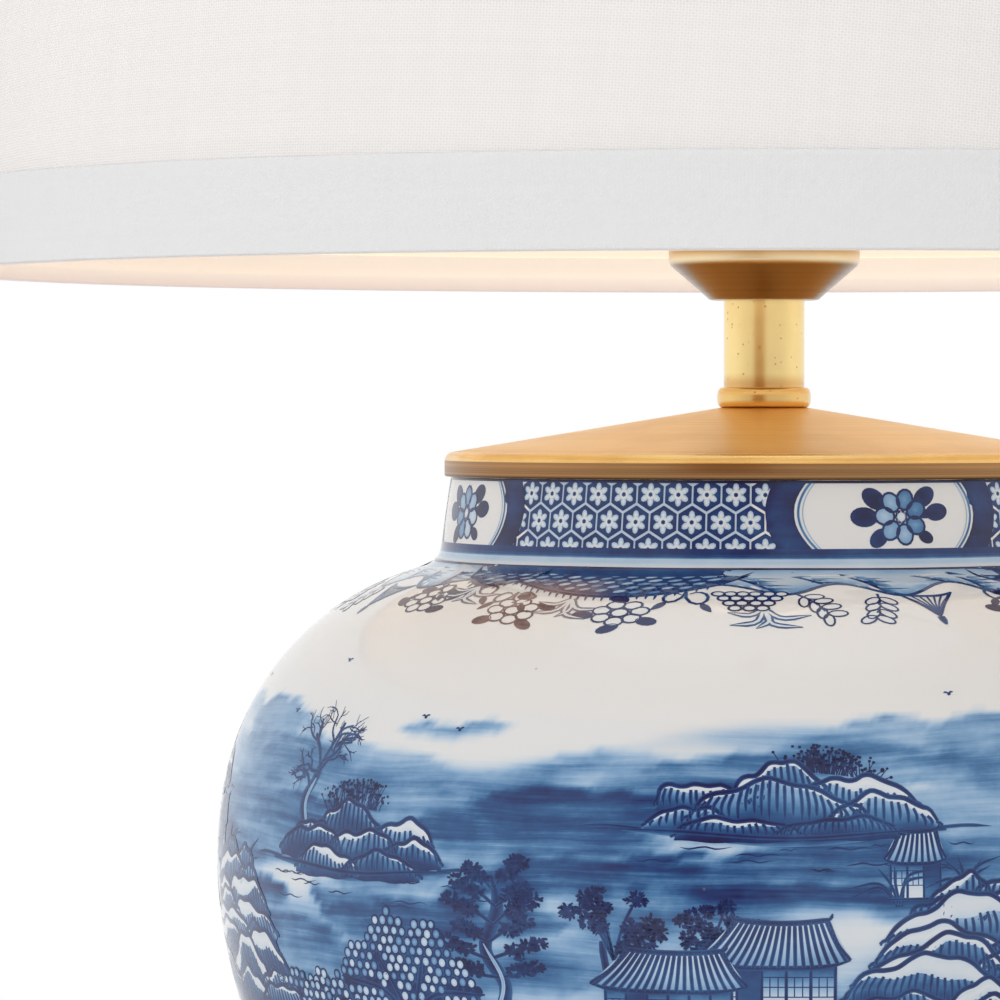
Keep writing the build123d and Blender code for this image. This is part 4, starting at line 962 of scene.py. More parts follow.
# %% The net as a tree of geometry nodes
def new_tree(name, inputs):
    made = bpy.data.node_groups.new(name, "GeometryNodeTree")
    made.interface.new_socket("Geometry", in_out="INPUT", socket_type="NodeSocketGeometry")
    for label, kind in inputs:
        made.interface.new_socket(label, in_out="INPUT", socket_type="NodeSocket" + kind)
    made.interface.new_socket("Geometry", in_out="OUTPUT", socket_type="NodeSocketGeometry")
    return made, node(made, "NodeGroupInput"), node(made, "NodeGroupOutput")


def grown(name, tree, settings, body):
    """Runs a tree and keeps the result as a plain mesh piece that rides on a body."""
    holder = bpy.data.objects.new(name, bpy.data.meshes.new(name + "_start"))
    bpy.context.scene.collection.objects.link(holder)
    modifier = holder.modifiers.new("grow", "NODES")
    modifier.node_group = tree
    sockets = {i.name: i.identifier for i in tree.interface.items_tree if i.in_out == "INPUT"}
    for label, value in settings.items():
        modifier[sockets[label]] = value
    bpy.context.view_layer.update()
    mesh = bpy.data.meshes.new_from_object(holder.evaluated_get(bpy.context.evaluated_depsgraph_get()))
    mesh.name = name
    holder.modifiers.remove(modifier)
    holder.data = mesh
    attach(holder, body)
    print(name, "grown, faces:", len(mesh.polygons))
    return holder


net_tree, into, out_of = new_tree("neck_net", [
    ("Cells", "Int"), ("Rows", "Int"), ("Pitch", "Float"), ("Row pitch", "Float"), ("Foot height", "Float"),
    ("Cut height", "Float"), ("Neck radius", "Float"), ("Neck slant", "Float"), ("Start angle", "Float"),
    ("Repeats", "Int"), ("Cell", "Object"), ("Glaze", "Material")])
given = into.outputs


def net(kind, inputs=None, **settings):
    return node(net_tree, kind, inputs, **settings).outputs[0]


def place_now():
    return split(net_tree, net("GeometryNodeInputPosition"))


wide_minus = times(net_tree, minus(net_tree, given["Cells"], 1.0), given["Pitch"])
tall_minus = times(net_tree, minus(net_tree, given["Rows"], 1.0), given["Row pitch"])
grid = net("GeometryNodeMeshGrid", {
    "Size X": wide_minus, "Size Y": tall_minus, "Vertices X": given["Cells"], "Vertices Y": given["Rows"]})
# every second row moves half a cell sideways
place = place_now()
from_foot = plus(net_tree, place[1], times(net_tree, tall_minus, 0.5))
row = maths(net_tree, "ROUND", maths(net_tree, "DIVIDE", from_foot, given["Row pitch"]))
odd = maths(net_tree, "MODULO", row, 2.0)
shifted = plus(net_tree, place[0], times(net_tree, minus(net_tree, odd, 0.5), times(net_tree, given["Pitch"], 0.5)))
moved = net("ShaderNodeCombineXYZ", {0: shifted, 1: place[1], 2: 0.0})
laid = net("GeometryNodeSetPosition", {"Geometry": grid, "Position": moved})
drawn = node(net_tree, "GeometryNodeObjectInfo", {0: given["Cell"]}).outputs["Geometry"]
copies = net("GeometryNodeInstanceOnPoints", {"Points": laid, "Instance": drawn})
sheet = net("GeometryNodeRealizeInstances", {0: copies})
# the same sheet once more for each repeat round the neck, each with its number
line = net("GeometryNodeMeshLine", {"Count": given["Repeats"], "Offset": (0.0, 0.0, 0.0)})
repeat = net("GeometryNodeInstanceOnPoints", {"Points": line, "Instance": sheet})
numbered = {"Geometry": repeat, "Name": "number", "Value": net("GeometryNodeInputIndex")}
number = net("GeometryNodeStoreNamedAttribute", numbered, data_type="FLOAT", domain="INSTANCE")
whole = net("GeometryNodeRealizeInstances", {0: number})
# roll the flat sheets round the cone: x turns into an angle, y into a height, and the thickness stands outwards
at = place_now()
count = net("GeometryNodeInputNamedAttribute", {"Name": "number"}, data_type="FLOAT")
turned = maths(net_tree, "DIVIDE", times(net_tree, count, 2 * pi), given["Repeats"])
angle = maths(net_tree, "DIVIDE", at[0], given["Neck radius"])
angle = plus(net_tree, angle, plus(net_tree, given["Start angle"], turned))
height = plus(net_tree, plus(net_tree, at[1], times(net_tree, tall_minus, 0.5)), given["Foot height"])
under = net("FunctionNodeCompare", {0: height, 1: given["Cut height"]}, operation="LESS_THAN")
trimmed = net("GeometryNodeDeleteGeometry", {"Geometry": whole, "Selection": under}, domain="FACE")
height = maths(net_tree, "MAXIMUM", height, given["Cut height"])
climb = minus(net_tree, height, given["Foot height"])
radius = plus(net_tree, minus(net_tree, given["Neck radius"], times(net_tree, climb, given["Neck slant"])), at[2])
across = times(net_tree, radius, maths(net_tree, "SINE", angle))
back = times(net_tree, times(net_tree, radius, maths(net_tree, "COSINE", angle)), -1.0)
bent = net("ShaderNodeCombineXYZ", {0: across, 1: back, 2: height})
rolled = net("GeometryNodeSetPosition", {"Geometry": trimmed, "Position": bent})
painted = net("GeometryNodeSetMaterial", {"Geometry": rolled, "Material": given["Glaze"]})
net_tree.links.new(net("GeometryNodeSetShadeSmooth", {0: painted}), out_of.inputs[0])
print("net tree has", len(net_tree.nodes), "nodes")

# %% Weave the net round the neck
net_foot, net_middle = 335.7, -23.6
neck_net = grown("neck_net", net_tree, {
    "Cells": cells_in_row, "Rows": net_rows, "Pitch": cell_wide * MM, "Row pitch": row_pitch * MM,
    "Foot height": net_foot * MM, "Cut height": net_foot * MM, "Neck slant": neck_slant,
    "Neck radius": (radius_at(climb_at(net_foot)) + 0.03) * MM, "Start angle": radians(net_middle),
    "Repeats": repeats, "Cell": cell_object, "Glaze": ink_glaze}, "lamp")
bpy.data.objects.remove(cell_object)


# %% Lines round the jar
def ring_line(height, width, blue, layer, soft, wobble, seed):
    """A painted line all the way round. soft lets its lower edge run out pale, as a wash does."""
    hand = np.random.default_rng(seed)
    steps = 480
    angles = np.arange(steps) / steps * 2 * pi
    wave = sum(hand.uniform(0.2, 1) * np.sin(k * angles + hand.uniform(0, 6)) for k in (2, 3, 5, 9)) * wobble * 0.5
    middle = climb_at(height) + wave
    rows = np.stack([middle - width / 2, middle, middle + width / 2])
    tones = np.repeat([blue * (1 - soft), blue, blue * 0.97], steps)
    i, j = np.arange(steps), (np.arange(steps) + 1) % steps
    quads = np.concatenate([np.stack([i, j, steps + j, steps + i], -1) + r * steps for r in (0, 1)])
    ink.keep(np.tile(angles, 3), rows.ravel(), tones, split_quads(quads), layer)


# %% Panels on the neck
def bracket(spot, side):
    """A thick dark bracket that ends a panel, with two thin lines inside it."""
    t = np.linspace(-1, 1, 9)
    bulge = 3.4 * t * t
    y = 1.9 + 10.3 * t
    outer = np.stack([side * (36.6 - bulge), y], -1)
    inner = np.stack([side * (28.4 - 1.5 * bulge), y], -1)
    low, high = (inner, outer) if side < 0 else (outer, inner)
    fill(spot, low, high, [0.96, 0.90, 0.84, 0.95], layer=5)
    stroke(spot, inner - (side * 1.25, 0), 0.62, 0.62, (1, 1), 5)
    stroke(spot, inner - (side * 2.5, 0) , 0.3, 0.3, (1, 1), 5)


def leaf(spot, root, tip, fat, blue=0.97, layer=3, edge=0.85):
    """A leaf from its root to its tip, dark down the middle."""
    root, tip = np.array(root, float), np.array(tip, float)
    way = tip - root
    side = np.array([-way[1], way[0]]) / np.hypot(*way)
    t = np.linspace(0, 1, 9)
    half = fat / 2 * np.sin(pi * t**0.8) ** 0.8
    middle = root + way * t[:, None]
    rows = np.stack([middle + half[:, None] * side, middle, middle - half[:, None] * side], 1)
    ink.add(spot, rows.reshape(-1, 2), np.tile([edge, blue, edge], 9), strip(9, 3), layer)


def flower(spot, x, y, reach, petals=6, width=0.5, wash_depth=(0.02, 0.10), turn=0.0, layer=4, seed=0):
    """An open flower: outlined petals with a little wash in each, round a small heart."""
    hand = random.Random(seed)
    angles = turn + np.arange(petals) * 2 * pi / petals
    long, wide = reach * 0.36, reach * 0.62 * sin(pi / petals) * 1.12
    centres = np.stack([x + reach * 0.62 * np.cos(angles), y + reach * 0.62 * np.sin(angles)], -1)
    depth = np.array([hand.uniform(*wash_depth) for _ in angles])
    dabs(spot, centres, long, wide, angles, depth, depth + 0.12, layer=layer, sides=10)
    loops(spot, centres, long, wide, width, 0.9, angles, layer=layer + 1, sides=14)
    dabs(spot, [(x, y)], reach * 0.2, reach * 0.2, 0, 0.05, 0.2, layer=layer + 2, sides=8)
    loops(spot, [(x, y)], reach * 0.2, reach * 0.2, width, 0.9, 0, layer=layer + 2, sides=10)


def panel_flower(spot, seed):
    hand = random.Random(seed)
    for end, fat in (((-10.6, 6.6), 5.0), ((9.8, 7.4), 4.8), ((-14.6, 0.4), 5.2), ((14.4, 1.6), 4.6),
                     ((-8.8, -7.6), 4.2), ((9.8, -7.4), 3.2)):
        end = (end[0] + hand.uniform(-0.5, 0.5), end[1] + hand.uniform(-0.4, 0.4))
        way = math.atan2(end[1], end[0])
        dabs(spot, [(end[0] * 0.80, end[1] * 0.80)], fat * 0.80, fat * 0.56, way + hand.uniform(-0.2, 0.2), 1.0, 0.9,
             layer=4, sides=18)
        dabs(spot, [(end[0] * 0.56, end[1] * 0.56)], fat * 0.6, fat * 0.3, way, 0.9, 0.85, layer=3, sides=12)
    flower(spot, 0, 0.2, 8.3, 7, 0.7, (0.12, 0.5), 0.4 + 0.1 * seed, layer=5, seed=seed)


for number in range(repeats):
    spot = Spot(21.9 + number * 90, 344.0)
    bracket(spot, -1)
    bracket(spot, 1)
    panel_flower(Spot(24.0 + number * 90, 344.9), number)
ring_line(355.25, 0.9, 0.97, 6, 0.0, 0.03, 1)
ring_line(335.2, 1.7, 0.82, 6, 0.0, 0.05, 2)
ring_line(333.8, 1.6, 0.74, 5, 0.5, 0.06, 3)
ring_line(332.0, 2.8, 0.24, 4, 0.5, 0.08, 5)
ring_line(330.3, 0.8, 0.92, 6, 0.0, 0.1, 4)
print("panels drawn:", repeats)
ink.dry("neck_painting", ink_glaze)


# %% What hangs from the shoulder's line
def scale_rock(spot, wide, tall, seed=0, layer=1):
    """A dark rock on its head, covered with rows of pale scales."""
    hand = random.Random(seed)
    t = np.linspace(0, 1, 15)
    edge = np.stack([(t - 0.5) * wide, tall * np.sin(pi * t) ** 0.55 * (0.85 + 0.25 * t)], -1)
    top = np.stack([(t - 0.5) * wide, np.full(15, -0.2)], -1)
    fill(spot, top, edge, [0.72, 0.80, 0.90], layer=2 * layer)
    centres, sizes, tones = [], [], []
    pitch = 3.1
    for row in range(int(tall / 1.5) + 1):
        y = 0.5 + row * 1.62
        for column in range(int(wide / pitch) + 1):
            x = -wide / 2 + (column + 0.5 * (row % 2)) * pitch + hand.uniform(-0.25, 0.25)
            reach = np.interp(x, edge[:, 0], edge[:, 1]) - 0.8
            if y < reach and abs(x) < wide / 2 - 1:
                centres.append((x, y + 0.5 * sin(x * 0.2)))
                sizes.append(hand.uniform(1.0, 1.25))
                tones.append(hand.uniform(0.16, 0.42))
    sizes, tones = np.array(sizes), np.array(tones)
    dabs(spot, centres, sizes, sizes * 0.48, -0.35, tones, tones + 0.12, layer=2 * layer + 1, sides=8)
    stroke(spot, edge, 0.9, 0.97, (0.4, 0.4), 2 * layer + 1)
    count = int(wide * 0.55)
    for i in range(count):
        at = 0.1 + 0.8 * (i + 0.5) / count
        x, y = np.interp(at, t, edge[:, 0]), np.interp(at, t, edge[:, 1])
        stroke(spot, [(x, y), (x + 0.3, y + hand.uniform(1.2, 2.2))], 0.4, 0.88, (1, 0.3), 2 * layer + 1)


def folds(spot, wide, tall, seed=0, layer=1):
    """Rock drawn as hanging folds: slanted dark bands with level hatching between them."""
    hand = random.Random(seed)
    count = max(4, int(wide / 9))
    t = np.linspace(0, 1, 4 * count)
    drop = 0.72 + 0.22 * np.sin(2 * pi * t * count * 0.5 + seed) + 0.08 * np.sin(17 * t)
    edge = np.stack([(t - 0.5) * wide, tall * drop], -1)
    top = np.stack([(t - 0.5) * wide, np.full(len(t), -0.2)], -1)
    fill(spot, top, edge, [0.34, 0.12, 0.20, 0.46], layer=2 * layer)
    for i in range(count):
        x = ((i + 0.5) / count - 0.5) * wide
        slant = hand.uniform(3, 8)
        depth = np.interp(x + slant, edge[:, 0], edge[:, 1])
        line = np.array([(x - 2, 0.2), (x + slant * 0.35, depth * 0.45), (x + slant, depth)])
        fill(spot, line, line + np.array([(3.2, 0.2), (3.4, -0.1), (2.0, -0.3)]), [0.8, 0.5, 0.3], layer=2 * layer)
        stroke(spot, line, 0.7, 0.94, (0.8, 0.5), 2 * layer + 1)
        for k in range(5):
            y = depth * (0.15 + 0.16 * k)
            start = x + slant * 0.5 * (y / tall) + hand.uniform(1.5, 3)
            end = (start + hand.uniform(2.5, 5.5), y + hand.uniform(-0.2, 0.3))
            stroke(spot, [(start, y), end], 0.34, 0.86, (0.5, 0.2), 2 * layer + 1)
    stroke(spot, edge, 0.7, 0.95, (0.6, 0.6), 2 * layer + 1)


def berries(spot, places, size=1.0, layer=5, seed=0):
    hand = random.Random(seed)
    k = len(places)
    turns = [hand.uniform(-0.6, 0.6) for _ in range(k)]
    dabs(spot, places, 2.3 * size, 1.35 * size, turns, 0.99, 0.93, layer=layer, sides=12)


def blossom(spot, x, y, size=1.0, seed=0):
    """A ring of small round petals with three or four dark leaves beside it."""
    hand = random.Random(seed)
    outer = [(x + size * 3.4 * cos(a), y + size * 2.5 * sin(a)) for a in np.arange(7) * 2 * pi / 7 + hand.random()]
    inner = [(x, y)]
    for places, wide in ((outer, 1.55), (inner, 1.5)):
        dabs(spot, places, wide * size, wide * 0.78 * size, 0, 0.02, 0.06, layer=5, sides=10)
        loops(spot, places, wide * size, wide * 0.78 * size, 0.42, 0.9, 0, layer=6, sides=12)
    start = hand.uniform(0, 6)
    round_it = [start + turn for turn in (0, 1.1, 2.4, 3.9)]
    places = [(x + size * 6.3 * cos(a), y + size * 4.4 * sin(a)) for a in round_it]
    berries(spot, places, 0.85 * size, 5, seed)


def grapes(spot, x, y, wide, tall, seed):
    """A hanging bunch, widest on top."""
    hand = random.Random(seed)
    places = [(x + (i - (5 - r) / 2) * wide / 6 + hand.uniform(-0.2, 0.2), y + r * tall / 4)
              for r in range(4) for i in range(6 - r)]
    across, down = 0.5 * wide / 6, 0.5 * tall / 4
    dabs(spot, places, across, down, 0, 0.04, 0.12, layer=5, sides=10)
    loops(spot, places, across, down, 0.42, 0.9, 0, layer=6, sides=12)


def spray(spot, x, y, reach, angle, seed=0):
    """Paired outlined leaves down a thin stem."""
    hand = random.Random(seed)

    def stem_at(t):
        return x + reach * t * cos(angle + 0.25 * t), y + reach * t * sin(angle + 0.25 * t)

    stroke(spot, [stem_at(t) for t in np.linspace(0, 1, 5)], 0.4, 0.88, (1, 0.5), 5)
    for t in np.linspace(0.2, 1.0, 4):
        px, py = stem_at(t)
        for side in (-1, 1):
            turn = angle + side * 0.85 + hand.uniform(-0.15, 0.15)
            place = [(px + 1.7 * cos(turn), py + 1.7 * sin(turn))]
            dabs(spot, place, 1.6, 0.85, turn, 0.03, 0.08, layer=5, sides=10)
            loops(spot, place, 1.6, 0.85, 0.38, 0.9, turn, layer=6, sides=12)


def claws(spot, x, y, seed=0):
    """Long curved leaves that hang and turn up at the tip, outlined, with a pale middle."""
    hand = random.Random(seed)
    for angle, reach in ((0.35, 8), (0.9, 9), (1.7, 7), (2.45, 8), (2.9, 6)):
        angle += hand.uniform(-0.15, 0.15)
        way = 1 if angle < 1.5 else -1
        early = angle + 0.45 * way
        line = [(x, y), (x + 0.5 * reach * cos(early), y + 0.5 * reach * sin(early)),
                (x + reach * cos(angle), y + 0.8 * reach * sin(angle))]
        stroke(spot, line, 1.15, 0.9, (0.8, 0.15), 4)
        stroke(spot, line, 0.42, 0.14, (0.7, 0.0), 6)


def tendrils(spot, x, y, seed):
    """Two curls, each with a leaf."""
    hand = random.Random(seed)
    for side in (-1, 1):
        size = hand.uniform(2.8, 4.2)
        line = [(x + side * size * (1 - cos(a)) * 0.8 * (1 - a / 9), y + size * sin(a) * (1 - a / 12) + a * 0.5)
                for a in np.linspace(0, 5.2, 12)]
        stroke(spot, line, 0.5, 0.9, (1, 0.3), 5)
        leaf(spot, line[4], (line[4][0] + side * 2.2, line[4][1] + 2.6), 1.4, 0.95, 5, 0.85)


def hanging_roof(spot, y, wide, tall):
    """A pagoda's roof that hangs by its eaves: ribs run down from them to a knob."""
    across = np.linspace(-1, 1, 9)
    stroke(spot, np.stack([across * wide / 2, y - 1.3 * np.abs(across) ** 3], -1), 0.6, 0.93, (0.5, 0.5), 7)
    for side in (-1, 1):
        flank = [(side * wide / 2, y - 1.3), (side * wide * 0.2, y + 0.45 * tall), (0, y + tall)]
        stroke(spot, flank, 0.5, 0.93, (0.7, 0.5), 7)
    for t in np.linspace(-0.8, 0.8, 7):
        rib = [(t * wide / 2, y), (t * wide * 0.2, y + 0.45 * tall), (t * wide * 0.04, y + 0.9 * tall)]
        stroke(spot, rib, 0.3, 0.85, (1, 0.4), 6)
    stroke(spot, [(0, y + tall), (0.2, y + tall + 2.2)], 1.1, 0.95, (1, 0.3), 7)


# %% Lay the shoulder's border round the jar
for number in range(4):
    start = number * 90.0 - 24
    hand = random.Random(50 + number)

    def hang(azimuth):
        return Spot(start + azimuth, 329.9, 1.75, over=-1)

    scale_rock(hang(0), 46 + hand.uniform(-3, 3), 11.0, number)
    folds(hang(42), 58, 10.6, number + 10, 0)
    scale_rock(hang(68), 18, 8.0, number + 20, 2)
    for x, y in ((-13, 16.0), (7, 16.0)):
        blossom(hang(0), x + hand.uniform(-1, 1), y, hand.uniform(0.9, 1.1), number * 10 + int(x) + 30)
    claws(hang(-3), 0, 12.0, number)
    claws(hang(-22), 0, 8.5, number + 5)
    for at in (-30, -21, -13, 13):
        tendrils(hang(at), 0, 8.0 + (at % 3), number + at)
    grapes(hang(22), 0, 9.5, 12.5, 6.4, number)
    claws(hang(24), 0, 14.5, number + 7)
    spray(hang(28.5), 0, 9.5, 8, 0.7, number)
    spray(hang(40), 0, 9.5, 7.5, 1.6, number + 3)
    blossom(hang(61), 0, 14.0, 1.0, number + 90)
    hanging_roof(hang(47), 10.5, 10, 6.5)
print("border points so far:", ink.count)
ink.dry("shoulder_painting", ink_glaze)

# %% [markdown]
# ## The scene round the belly
# The painter works from back to front: the far islets first, then trees and houses on the middle shore, then the near
# rocks. Each group below is a few calls to the stock figures, at an angle and a height, with its own seed.

# %% Groups of the scene
def islet(azimuth, height, wide, seed, tree):
    """A low rocky islet with bushes behind it and ripples under it."""
    spot = Spot(azimuth, height)
    hand = random.Random(seed)
    shrubs(spot, -0.26 * wide, 0.30 * wide, 11.5, 7.5, seed, 1, lambda at: 2.6 * sin(pi * at))
    if tree:
        bare_tree(Spot(azimuth - math.degrees(0.3 * wide / 160), height + 7), 34, seed + 1, 1)
    rows = ((4.4, -0.36, 0.38, 3, 9.0), (-0.4, -0.42, 0.44, 3, 7.6), (-4.2, -0.30, 0.32, 2, 5.6))
    layer = rocks(spot, [(y, left * wide, right * wide, count, tall) for y, left, right, count, tall in rows], seed, 1)
    t = np.linspace(0, 1, 13)
    shore_high = np.stack([(t - 0.5) * wide * 1.05, -3.2 - 1.6 * np.sin(pi * t) + 0.4 * np.sin(9 * t)], -1)
    shore_low = shore_high - np.stack([0 * t, 0.5 + 2.0 * np.sin(pi * t)], -1)
    fill(spot, shore_low, shore_high, [0.5, 0.85], layer=1)
    stroke(spot, shore_high, 1.1, 0.95, (0.1, 0.1), 2 * layer)
    for side in (-1, 1):
        tail = [(side * 0.46 * wide, -3), (side * 0.58 * wide, -2.2), (side * 0.68 * wide, -2.6)]
        stroke(spot, tail, 0.9, 0.85, (1, 0.1), 2)
    ripples(Spot(azimuth, height - 6), wide * 1.1, 8, int(wide / 5), seed)


def stacked_rocks(azimuth, height, wide, tall, seed, layer):
    """A heap of rocks as broad as wide and as high as tall, row over row."""
    count = max(3, int(tall / 7))
    rows = []
    for i in range(count):
        share = 1 - i / count
        spread = wide * (1 - 0.62 * share ** 1.2)
        rows.append((tall * share * 0.84, -spread / 2, spread / 2, max(2, int(spread / 23)), 11.0))
    rocks(Spot(azimuth, height), rows, seed, layer)


def village(azimuth, height, seed):
    """Halls by the water behind a low shore, with trees beside them."""
    leafy_tree(Spot(azimuth - 8.5, height + 9), 33, seed, 1)
    leafy_tree(Spot(azimuth + 1.0, height + 13), 25, seed + 1, 1, 0.55)
    pavilion(Spot(azimuth + 7.0, height + 6), 42, 27, seed + 3, 4, 5)
    pavilion(Spot(azimuth - 3.2, height + 0.5), 44, 24, seed + 2, 6, 6)
    spot = Spot(azimuth + 2, height - 3)
    t = np.linspace(0, 1, 15)
    shore = np.stack([(t - 0.5) * 96, 1.0 + 1.4 * np.sin(8 * t)], -1)
    fill(spot, shore - np.stack([0 * t, 2.4 + 1.2 * np.sin(pi * t)], -1), shore, [0.3, 0.7], layer=12)
    stroke(spot, shore, 0.8, 0.93, (0.2, 0.2), 13)


def bushes(azimuth, height, wide, tall, seed, layer=3):
    bubble_bush(Spot(azimuth, height), wide, tall, seed, layer)


# %% The upper half: what hangs in the sky and stands on the far water
for azimuth, height in (
    (-61, 288), (-56, 303), (-38, 289), (-33, 286), (20, 297), (31, 301), (66, 300), (101, 295), (127, 303), (148, 296),
    (176, 304), (-170, 298), (-141, 303), (-118, 294), (-92, 301), (-80, 296),
):
    bird(Spot(azimuth, height))
for azimuth, height, wide, seed, tree in (
    (-45, 250, 74, 3, True), (2, 264, 86, 5, False), (52, 258, 70, 7, True), (98, 264, 80, 9, False),
    (143, 255, 72, 12, True), (-170, 263, 84, 14, False), (-124, 256, 74, 16, True), (-88, 266, 60, 18, False),
):
    islet(azimuth, height, wide, seed, tree)
print("islets drawn, points:", ink.count)
ink.dry("far_water_painting", ink_glaze)

# %% The middle shore: trees, halls and rocks
for start, seed in ((0, 100), (92, 200), (182, 300), (-92, 400)):
    layered_tree(Spot(start - 27, 206), 46, seed + 1, 3)
    bushes(start - 38, 200, 56, 34, seed + 2)
    bushes(start - 50, 196, 34, 20, seed + 3, 4)
    stacked_rocks(start - 52, 190, 44, 16, seed + 4, 4)
    village(start - 6, 204, seed + 5)
    spot = Spot(start + 14.5, 242, 0.8)
    pavilion(spot, 22, 24, seed + 6, 2, 3)
    for side, count in ((13, 6), (20, 7), (27, 5)):
        reeds(Spot(start + side, 238 + (side % 3) * 2), count, 15, seed + side, 3, 0.9, pi / 2 + 0.3)
    stacked_rocks(start + 22, 196, 84, 56, seed + 7, 2)
    bushes(start + 37, 192, 44, 22, seed + 8, 8)
print("middle shore drawn, points:", ink.count)
ink.dry("middle_shore_painting", ink_glaze)

# %% The near water and the front rocks
for start, seed in ((-14, 500), (76, 600), (166, 700), (-104, 800)):
    ripples(Spot(start, 186), 150, 60, 46, seed, 1, 0.8)
    boat(Spot(start + 6, 165), 34, 3)
    boat(Spot(start - 24, 178, 0.7), 30, 3)
    leafy_tree(Spot(start + 34, 140), 42, seed + 1, 1, 0.5)
    layered_tree(Spot(start + 42, 132), 48, seed + 2, 3)
    stacked_rocks(start + 36, 112, 92, 34, seed + 3, 3)
    bushes(start + 49, 106, 40, 22, seed + 4, 6)
    stacked_rocks(start - 16, 100, 60, 20, seed + 5, 3)
    reeds(Spot(start - 16, 116), 9, 16, seed + 6, 3, 0.9)
    pavilion(Spot(start - 2, 118, 0.9), 34, 24, seed + 7, 3, 4)
    ripples(Spot(start + 6, 98), 190, 16, 26, seed + 8, 1, 0.8)
print("near shore drawn, points:", ink.count)
ink.dry("near_shore_painting", ink_glaze)

# %% The border over the foot
for height, width, blue in ((84.5, 0.8, 0.9), (81.5, 2.0, 0.84), (48.0, 1.9, 0.86), (44.6, 0.7, 0.92)):
    ring_line(height, width, blue, 3, 0.0, 0.15, int(height))
lappets = 28
for number in range(lappets):
    spot = Spot(number * 360 / lappets, 50.0)
    half = 2 * pi * radius_at(spot.climb) / lappets / 2
    t = np.linspace(-1, 1, 15)
    arch = np.stack([t * half * 0.94, 27.5 * (1 - np.abs(t) ** 2.4)], -1)
    fill(spot, arch * (0.98, 0.0) + (0, 0.4), arch, [0.42, 0.20, 0.06], layer=1)
    stroke(spot, arch, 1.5, 0.93, (1, 1), 4)
    stroke(spot, arch * (0.8, 0.84), 0.5, 0.7, (1, 1), 4)
    for reach, fat in ((19, 4.6), (12, 3.0)):
        leaf(spot, (0, 1.5), (0, reach), fat, 0.95, 4, 0.6)
    for side in (-1, 1):
        leaf(spot, (side * 0.6, 2), (side * half * 0.56, 10.5), 2.6, 0.92, 4, 0.55)
print("foot border drawn, points:", ink.count)
ink.dry("foot_border_painting", ink_glaze)

# %% [markdown]
# ## The glazed jar
# Where strokes lie close together the cobalt bleeds a little into the glaze. So the strokes leave a halo in the wash
# before the wash goes onto the wall. The jar itself is then one lathed mesh, outside and inside, on the solid's sizes.

# %% Halo of the strokes, then the jar's mesh
for number in range(repeats):
    spread = np.abs((np.degrees(grid_angle) - net_middle - number * 90 + 180) % 360 - 180) < 21.5
    wash[np.ix_(grid_climb > climb_at(336.0), spread)] = 0.2
halo = np.zeros_like(wash)
for angles, climbs, widths in ink.halo:
    rows = np.clip(np.searchsorted(grid_climb, climbs), 0, len(grid_climb) - 1)
    columns = np.round(np.mod(angles, 2 * pi) / (2 * pi) * turns_round).astype(int) % turns_round
    np.add.at(halo, (rows, columns), np.minimum(np.broadcast_to(widths, len(rows)), 2.5) * 0.06)
for _ in range(2):
    halo = (halo * 2 + np.roll(halo, 1, 1) + np.roll(halo, -1, 1)) / 4
    halo[1:-1] = (halo[1:-1] * 2 + halo[:-2] + halo[2:]) / 4
blue_wall = np.clip(np.maximum(wash, 0) + 0.35 * np.minimum(halo, 0.5), 0, 0.8)
ink.halo.clear()

outer = np.stack([np.interp(grid_climb, climb_along, wall[:, i]) for i in (0, 1)], -1)
wall_thickness = 6.0
inside = outer[::6][::-1]
inside = np.stack([inside[:, 0] - wall_thickness, inside[:, 1]], -1)
inside = inside[(inside[:, 1] > 52) & (inside[:, 1] < 356)]
mouth = [(mouth_radius - wall_thickness + 1.2, 359.6), (mouth_radius - wall_thickness, 358.0)]
floor_and_foot = [(94.5, 47.0), (90.0, 44.8), (6.5, 44.8), (6.5, 37.8), (89.0, 37.8), (92.0, 33.4), (92.4, 32.2),
                  (93.4, 31.8), (99.6, 31.8), (100.6, 32.2), (101.0, 33.2)]
profile = np.vstack([outer, mouth, inside, floor_and_foot])
jar_points, jar_quads = lathe_grid(profile, turns_round)
jar_blue = np.zeros((len(profile), turns_round))
jar_blue[: len(outer)] = blue_wall
glazed_jar = piece("glazed_jar", jar_points, jar_quads, wall_glaze, "lamp", cobalt=jar_blue.ravel())
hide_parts("jar")
print("jar quads:", len(jar_quads))

# %% [markdown]
# ## Brass
# The cap, collar, tube, cup and foot are spun and turned, so their polish marks run round the axis. A metal shader
# takes its look from what it mirrors: the colour goes in the base, and noise that hardly changes round the axis but
# changes quickly along the outline makes the turned marks, in colour, in roughness and in the bump.

# %% Turned brass
def polar(tree, places):
    """Coordinates that follow a turned piece: radius, height, and only a little of the way round."""
    radius = maths(tree, "SQRT", plus(tree, times(tree, places[0], places[0]), times(tree, places[1], places[1])))
    along = times(tree, maths(tree, "ABSOLUTE", way_round(tree, places)), 0.02)
    return node(tree, "ShaderNodeCombineXYZ", {0: radius, 1: along, 2: places[2]}).outputs[0]


